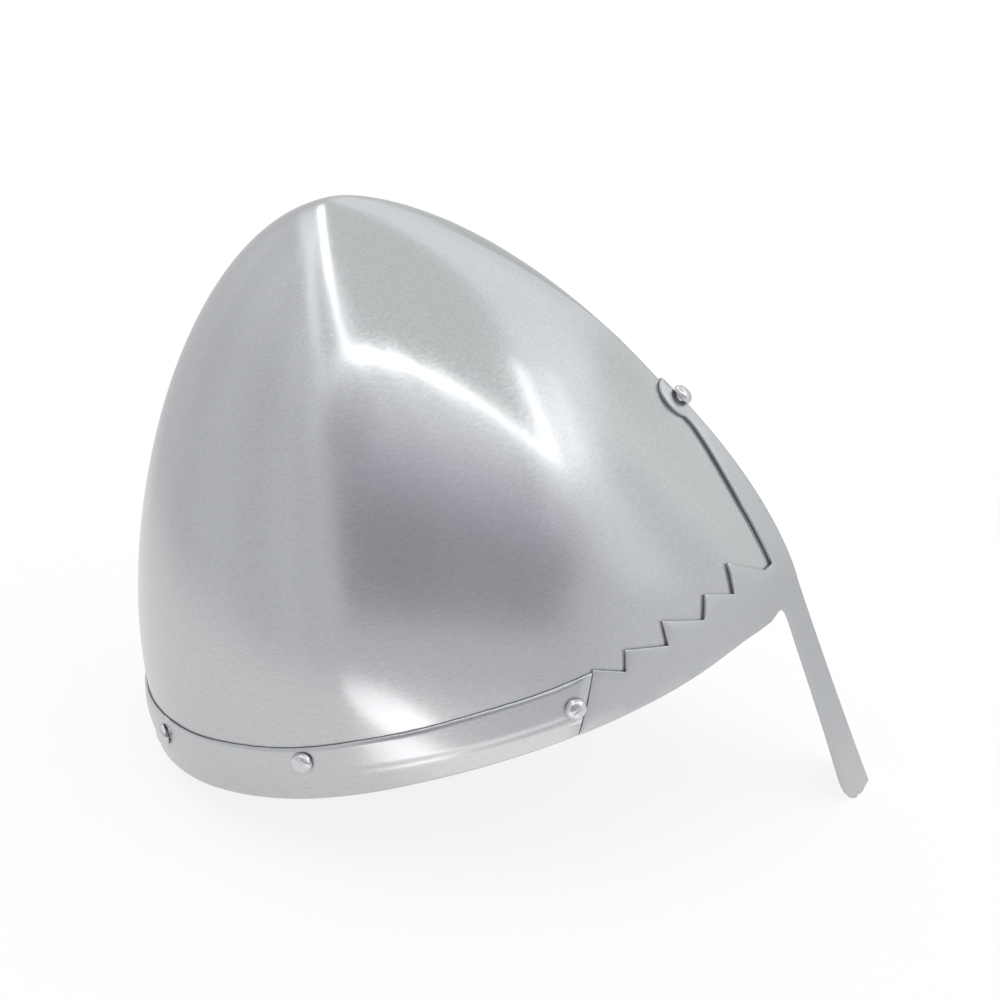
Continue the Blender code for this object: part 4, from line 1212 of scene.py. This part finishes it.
def build_buckle_frame():
    bar, along, inward = bar_axes()
    half, length, corner = FRAME_HALF, FRAME_LENGTH, FRAME_CORNER
    straight = half - corner

    def arc(x, z, start):
        turns = [math.radians(start + 90 * k / 8) for k in range(9)]
        return [(x + corner * math.cos(turn), z + corner * math.sin(turn), 1.0)
                for turn in turns]

    # stations as (along the strap, up, thickness), starting down the strap's bar
    stations = [(0.0, straight * (1 - 2 * k / 12), 0.96) for k in range(13)]
    stations += arc(corner, -half + corner, 180)
    stations += [(corner + (length - 2 * corner) * k / 8, -half, 1.0) for k in range(1, 8)]
    stations += arc(length - corner, -half + corner, 270)
    for k in range(1, 12):
        # a shallow seat for the tongue in the far bar
        z = straight * (-1 + 2 * k / 12)
        stations.append((length, z, 1.0 - 0.10 * math.exp(-(z / 2.0) ** 2)))
    stations += arc(length - corner, half - corner, 0)
    stations += [(length - corner - (length - 2 * corner) * k / 8, half, 1.0)
                 for k in range(1, 8)]
    stations += arc(corner, half - corner, 90)

    path, taper = [], []
    for x, z, thickness in stations:
        point = bar + along * x + Z_AXIS * z
        if not path or (point - path[-1]).length > 0.25:
            path.append(point)
            taper.append(thickness)
    if (path[0] - path[-1]).length < 0.25:
        path.pop()
        taper.pop()
    verts, faces = tube(path, BUCKLE_WIRE, 18, up=inward, taper=taper)
    add_piece("buckle_ring", verts, faces, BRASS_MAT, "buckle", "buckle_frame", "buckle",
              weld=False)


def build_tongue():
    """A tapering pin with an eye round the bar, drawn as (along the strap, inwards)."""
    bar, along, inward = bar_axes()
    eye = 2.75
    turns = [math.radians(75 + 230 * k / 30) for k in range(31)]
    outline = [(eye * math.cos(turn), eye * math.sin(turn)) for turn in turns]
    tip = FRAME_LENGTH + BUCKLE_WIRE + 2.2
    outline += [
        (3.2, -0.4), (5.2, 0.5), (8.0, 1.45), (11.5, 1.95), (FRAME_LENGTH, 2.05), (tip, 2.2),
        (tip + 0.32, 2.6), (tip + 0.4, 3.0), (tip + 0.28, 3.4), (tip, 3.65),
        (FRAME_LENGTH, 3.9), (11.5, 3.95), (8.0, 3.7), (5.4, 3.35), (3.4, 2.9)]

    def half_width(x, _):
        return 1.7 - 0.75 * ease(x, 4.0, tip)

    plate("buckle_pin", outline, [circle((0, 0), LOOP_IN, 28)],
          straight_surface(bar, along, inward, Z_AXIS), lambda x, y: -half_width(x, y),
          half_width, BRASS_MAT, "tongue", step=0.8, grid=(1.6, 1.6), rounding=0.45,
          stands_for="buckle_tongue", slot="buckle", sharp=50)


def rounded_box(half_x, half_z, radius):
    points = []
    for x_sign, z_sign, start in ((1, 1, 0), (-1, 1, 90), (-1, -1, 180), (1, -1, 270)):
        for k in range(7):
            turn = math.radians(start + 15 * k)
            points.append((x_sign * (half_x - radius) + radius * math.cos(turn),
                           z_sign * (half_z - radius) + radius * math.sin(turn)))
    return points


def build_keeper():
    """A leather loop round the short strap."""
    start = short_point(KEEPER_AT)
    centre, along, inward = strap_axes(start, short_point(KEEPER_AT + 1) - start)
    half_x, half_z = STRAP_T / 2 + 0.7, STRAP_HALF + 0.5
    wall, corner, half_length = 1.2, 0.9, 4.0
    plate("keeper_loop", rounded_box(half_x + wall, half_z + wall, corner + wall),
          [rounded_box(half_x, half_z, corner)[::-1]],
          straight_surface(centre, inward, (0, 0, 1.0), along), -half_length, half_length,
          STRAP_MAT, "keeper", step=1.6, grid=(30, 30), rounding=0.4,
          stands_for="strap_keeper", slot="strap_leather", sharp=50)


build_skull()
build_band()
build_front()
build_rivets()
build_head_band()
for leaf in range(PETALS):
    build_leaf(leaf)
build_drawcord()
build_lining_stitches()
build_long_strap()
build_short_strap()
build_strap_stitches()
build_buckle_frame()
build_tongue()
build_keeper()

# ---------------------------------------------------------------- camera
# looking at the wearer's right side, from a little ahead and above, rolled
AZIMUTH = -math.pi / 2 + math.radians(7.44)
ELEVATION = math.radians(22.45)
ROLL = math.radians(14.04)
TARGET = Vector((0, -47.07, 51.22))
DISTANCE = 900.0
BACK = Vector((math.sin(AZIMUTH) * math.cos(ELEVATION), -math.cos(AZIMUTH) * math.cos(ELEVATION),
               math.sin(ELEVATION)))
level_right = (-BACK).cross(Z_AXIS).normalized()
level_up = level_right.cross(-BACK)
RIGHT = math.cos(ROLL) * level_right - math.sin(ROLL) * level_up
UP = math.sin(ROLL) * level_right + math.cos(ROLL) * level_up


def add_camera():
    data = bpy.data.cameras.new("photo_camera")
    data.sensor_width = 36.0
    data.lens = 94.05936
    data.clip_start = 0.05
    data.clip_end = 30.0
    camera = bpy.data.objects.new("photo_camera", data)
    place = (BACK * DISTANCE + TARGET - ORIGIN) * MILLI
    rows = [(RIGHT[i], UP[i], BACK[i], place[i]) for i in range(3)]
    camera.matrix_world = Matrix((*rows, (0, 0, 0, 1)))
    bpy.context.collection.objects.link(camera)
    bpy.context.scene.camera = camera


# ---------------------------------------------------------------- floor
# the plane runs under the back of the rim and the nasal's tip
FLOOR_TILT = math.radians(19.3)
FLOOR_POINT = Vector((0, 90.9, -0.25))
FADE_CENTRE = (0.0, -0.11)    # metres
WHITE = (1, 1, 1, 1)


def floor_material():
    material, graph = new_material("pale_floor")
    position, backfacing = graph.add("ShaderNodeNewGeometry", output=("Position", "Backfacing"))
    camera_ray, glossy_ray = graph.add("ShaderNodeLightPath",
                                       output=("Is Camera Ray", "Is Glossy Ray"))
    mottle = graph.noise(graph.coordinate(), scale=90.0, detail=3.0)
    matt = graph.add("ShaderNodeBsdfDiffuse", {
        0: graph.mix_colour(mottle, (0.86, 0.86, 0.865), (0.90, 0.90, 0.905))})
    white = graph.glow("ShaderNodeEmission", WHITE, strength=1.0)
    seen = graph.mix_shader(0.13, white, matt)
    x, y, _ = graph.components(position)

    def card(centre, radii, turn, soft):
        """Soft ellipse on the floor, in rim-centred millimetres, turned in degrees."""
        from_x = x - centre[0] * MILLI
        from_y = y - (centre[1] - ORIGIN.y) * MILLI
        cosine, sine = math.cos(math.radians(turn)), math.sin(math.radians(turn))
        first = (from_x * cosine + from_y * sine) / (radii[0] * MILLI)
        second = (from_y * cosine - from_x * sine) / (radii[1] * MILLI)
        reach = graph.math("SQRT", first * first + second * second)
        return graph.fall(reach, 1.0, 1.0 + soft)

    # white reflector cards that only show in reflections
    cards = (card(centre=(-255, 16), radii=(62, 25), turn=-32, soft=0.55) * 1.50
             + card(centre=(-170, -62), radii=(34, 60), turn=20, soft=0.9) * 0.30)
    bright = graph.glow("ShaderNodeEmission", WHITE, strength=0.86 + cards)
    reflected = graph.mix_shader(0.78, matt, bright)
    unseen = graph.mix_shader(glossy_ray, matt, reflected)
    surface = graph.mix_shader(camera_ray, unseen, seen)
    # the floor melts into the white backdrop, and isn't there when seen from below
    from_x, from_y = x - FADE_CENTRE[0], y - FADE_CENTRE[1]
    reach = graph.math("SQRT", from_x * from_x + from_y * from_y)
    gone = graph.math("MAXIMUM", backfacing, graph.rise(reach, start=0.15, end=0.44))
    graph.finish(graph.mix_shader(gone, surface, graph.add("ShaderNodeBsdfTransparent")))
    return material


def add_floor():
    material = floor_material()
    bm = bmesh.new()
    bmesh.ops.create_circle(bm, cap_ends=True, segments=64, radius=0.62)
    mesh = bpy.data.meshes.new("floor")
    bm.to_mesh(mesh)
    bm.free()
    floor = bpy.data.objects.new("floor", mesh)
    mesh.materials.append(material)
    sine, cosine = math.sin(FLOOR_TILT), math.cos(FLOOR_TILT)
    floor.rotation_mode = "QUATERNION"
    floor.rotation_quaternion = Z_AXIS.rotation_difference(Vector((0, -sine, cosine)))
    # the disc's centre lies 0.12 m forward of the point, down the slope
    floor.location = (FLOOR_POINT - ORIGIN) * MILLI + Vector((0, -0.12 * cosine, -0.12 * sine))
    bpy.context.collection.objects.link(floor)


# ---------------------------------------------------------------- soft light tent
ROOF_LEFT = -0.355       # the roof's left edge and its edge towards the camera, as slopes
ROOF_FRONT = 1.375


def add_light_tent():
    """The world: a cloth tent, seen in reflections, laid out in the camera's own axes.
    Each mask is a product of steps; rise and fall take the slopes where they start and end."""
    world = bpy.data.worlds.new("light_tent")
    bpy.context.scene.world = world
    world.use_nodes = True
    graph = ShaderGraph(world.node_tree)
    rise, fall = graph.rise, graph.fall

    def at_least(value, least):
        return graph.math("MAXIMUM", value, least)

    def band_at(value, centre, half, soft):
        """1 within half of centre, fading over soft."""
        return fall(graph.math("ABSOLUTE", value - centre), half, half + soft)

    direction = graph.coordinate("Generated")
    x, y, z = [graph.add("ShaderNodeVectorMath", {0: direction, 1: tuple(axis)}, "Value",
                         operation="DOT_PRODUCT") for axis in (RIGHT, UP, BACK)]
    # slopes that place a direction on each side of the tent; depth runs towards the camera
    over, ahead, rightward = at_least(y, 0.02), at_least(z, 0.02), at_least(x, 0.02)
    leftward = at_least(x * -1.0, 0.02)
    roof_side, roof_depth = x / over, z / over
    front_height, front_side = y / ahead, x / ahead
    right_height, right_depth = y / rightward, z / rightward
    above = rise(y, 0.03, 0.12)
    front = rise(z, 0.05, 0.2)
    behind = rise(z, -0.45, -0.95)

    roof = (above * rise(roof_side, ROOF_LEFT - 0.025, ROOF_LEFT + 0.025)
            * fall(roof_depth, ROOF_FRONT, ROOF_FRONT + 0.06) * fall(x, 0.90, 0.97))
    # the roof's far right corner is thinner cloth and lets more light through
    slant = roof_depth - roof_side * 0.87
    thin = (above * rise(roof_side, -0.3, 0.0) * fall(slant, -0.84, -0.52)
            * rise(slant, -2.1, -1.5))

    # lamp strip and wider glow along the roof's left edge
    strip_left = (above * band_at(roof_side, ROOF_LEFT, half=0.010, soft=0.022)
                  * fall(roof_depth, 1.30, 1.42) * rise(roof_depth, -1.0, -0.3))
    glow_centre = -0.50 - 0.20 * at_least(roof_depth, 0.0)
    glow_left = (above * band_at(roof_side, glow_centre, half=0.03, soft=0.10)
                 * fall(roof_depth, 0.9, 2.6) * rise(roof_depth, -1.4, 0.2))
    # lamp strip along the roof's front edge, broader to the left, and the halo round it
    wide = rise(front_side, 0.9, -0.35)
    from_edge = graph.math("ABSOLUTE", roof_depth - ROOF_FRONT) - wide * 0.022
    strip_front = (front * fall(from_edge, 0.026, 0.115)
                   * rise(front_side, -0.295, -0.235) * fall(front_side, 1.7, 2.3))
    halo = (front * band_at(front_height, 0.72, half=0.02, soft=0.24)
            * rise(front_side, -0.30, -0.10) * fall(front_side, 1.6, 2.4))
    # a bright and a faint strip down the corner on the right
    inwards = rise(x, 0.3, 0.5)
    strip_right = (band_at(right_depth, 0.64 - right_height * 0.385, half=0.012, soft=0.035)
                   * rise(right_height, 0.33, 0.42) * fall(right_height, 0.80, 0.92) * inwards)
    faint_right = (band_at(right_depth, 0.557 - right_height * 0.667, half=0.01, soft=0.06)
                   * rise(right_height, 0.33, 0.42) * fall(right_height, 0.70, 0.80) * inwards)

    # the front opening, darker, with light from the roof's edge falling down it
    deep = at_least(front_side - 0.9, 0.0) * rise(front_height, 0.05, 0.25) * 0.28
    inside = (0.41 + rise(front_height - deep, -0.16, 0.60) * 0.58
              + rise(front_side, 0.10, 0.45) * 0.045
              + rise(front_side, 0.06, -0.16) * rise(front_height, 0.0, 0.35)
              * fall(front_height, 0.45, 0.62) * -0.20)
    near_jamb = ((front_side - (-0.31 - rise(front_height, 0.0, 0.45) * 0.14))
                 + rise(front_height, -0.10, -0.30) * -0.045)
    far_jamb = front_side - at_least(front_height, -0.3) * 1.15
    opening = (front * rise(near_jamb, -0.06, 0.06) * fall(far_jamb, 1.28, 1.66)
               * rise(front_height, -0.62, -0.28) * fall(front_height, 0.70, 0.78))
    curtain = (front * band_at(front_side, -0.54, half=0.05, soft=0.20)
               * rise(front_height, 0.02, 0.40) * fall(front_height, 0.55, 0.72))

    # two soft patches on the right
    side = rise(x, 0.6, 0.85) * rise(z, -0.6, -0.2) * fall(z, 0.3, 0.6)
    window = (rise(x, 0.78, 0.88) * rise(z, 0.02, 0.2) * fall(z, 0.36, 0.52)
              * rise(y, -0.1, 0.1))
    # the left wall: cloth in soft folds, lighter towards the roof
    folds = graph.math("COSINE", (z / leftward - 0.05) * 6.6)
    wall = rise(x, -0.35, -0.6) * (rise(y / leftward, 0.35, 0.95) * 0.09 + folds * 0.022)

    value = 0.70 + roof * 0.13 + wall + curtain * 0.10
    for factor, other in ((opening, inside), (behind, rise(x, 0.0, 0.5, low=0.66, high=0.50))):
        value = graph.add("ShaderNodeMix", {0: factor, 2: value, 3: other}, data_type="FLOAT")
    # masks and the brightness each adds
    for mask, strength in ((thin, 0.24), (window, 0.14), (side, 0.10), (glow_left, 0.56),
                           (halo, 0.12), (strip_left, 4.0), (strip_front, 2.4),
                           (strip_right, 2.2), (faint_right, 0.42)):
        value = value + mask * strength
    # a violet cast low in the opening and a greenish one on the roof
    colour = graph.mix_colour(opening * fall(front_height, 0.1, 0.5),
                              (0.985, 1.0, 1.02), (0.97, 0.965, 1.055))
    colour = graph.mix_colour(roof * (1.0 - thin), colour, (0.972, 1.006, 0.998))

    # the camera itself sees plain white
    camera_ray = graph.add("ShaderNodeLightPath", output="Is Camera Ray")
    tent = graph.glow("ShaderNodeBackground", colour, value)
    white = graph.glow("ShaderNodeBackground", WHITE, strength=1.0)
    graph.finish(graph.mix_shader(camera_ray, tent, white), "ShaderNodeOutputWorld")


def add_overhead():
    """A large soft lamp for body and a gentle contact shadow."""
    light = bpy.data.lights.new("overhead", "AREA")
    light.shape = "RECTANGLE"
    light.size = 1.4
    light.size_y = 1.0
    light.energy = 5.0
    lamp = bpy.data.objects.new("overhead", light)
    lamp.location = UP * 1.3 + RIGHT * 0.35 + BACK * 0.25
    lamp.rotation_mode = "QUATERNION"
    lamp.rotation_quaternion = (-lamp.location).to_track_quat("-Z", "Y")
    lamp.visible_camera = False
    lamp.visible_glossy = False
    bpy.context.collection.objects.link(lamp)


add_camera()
add_floor()
add_light_tent()
add_overhead()
bpy.context.scene.view_settings.view_transform = "Standard"
bpy.context.scene.view_settings.look = "None"
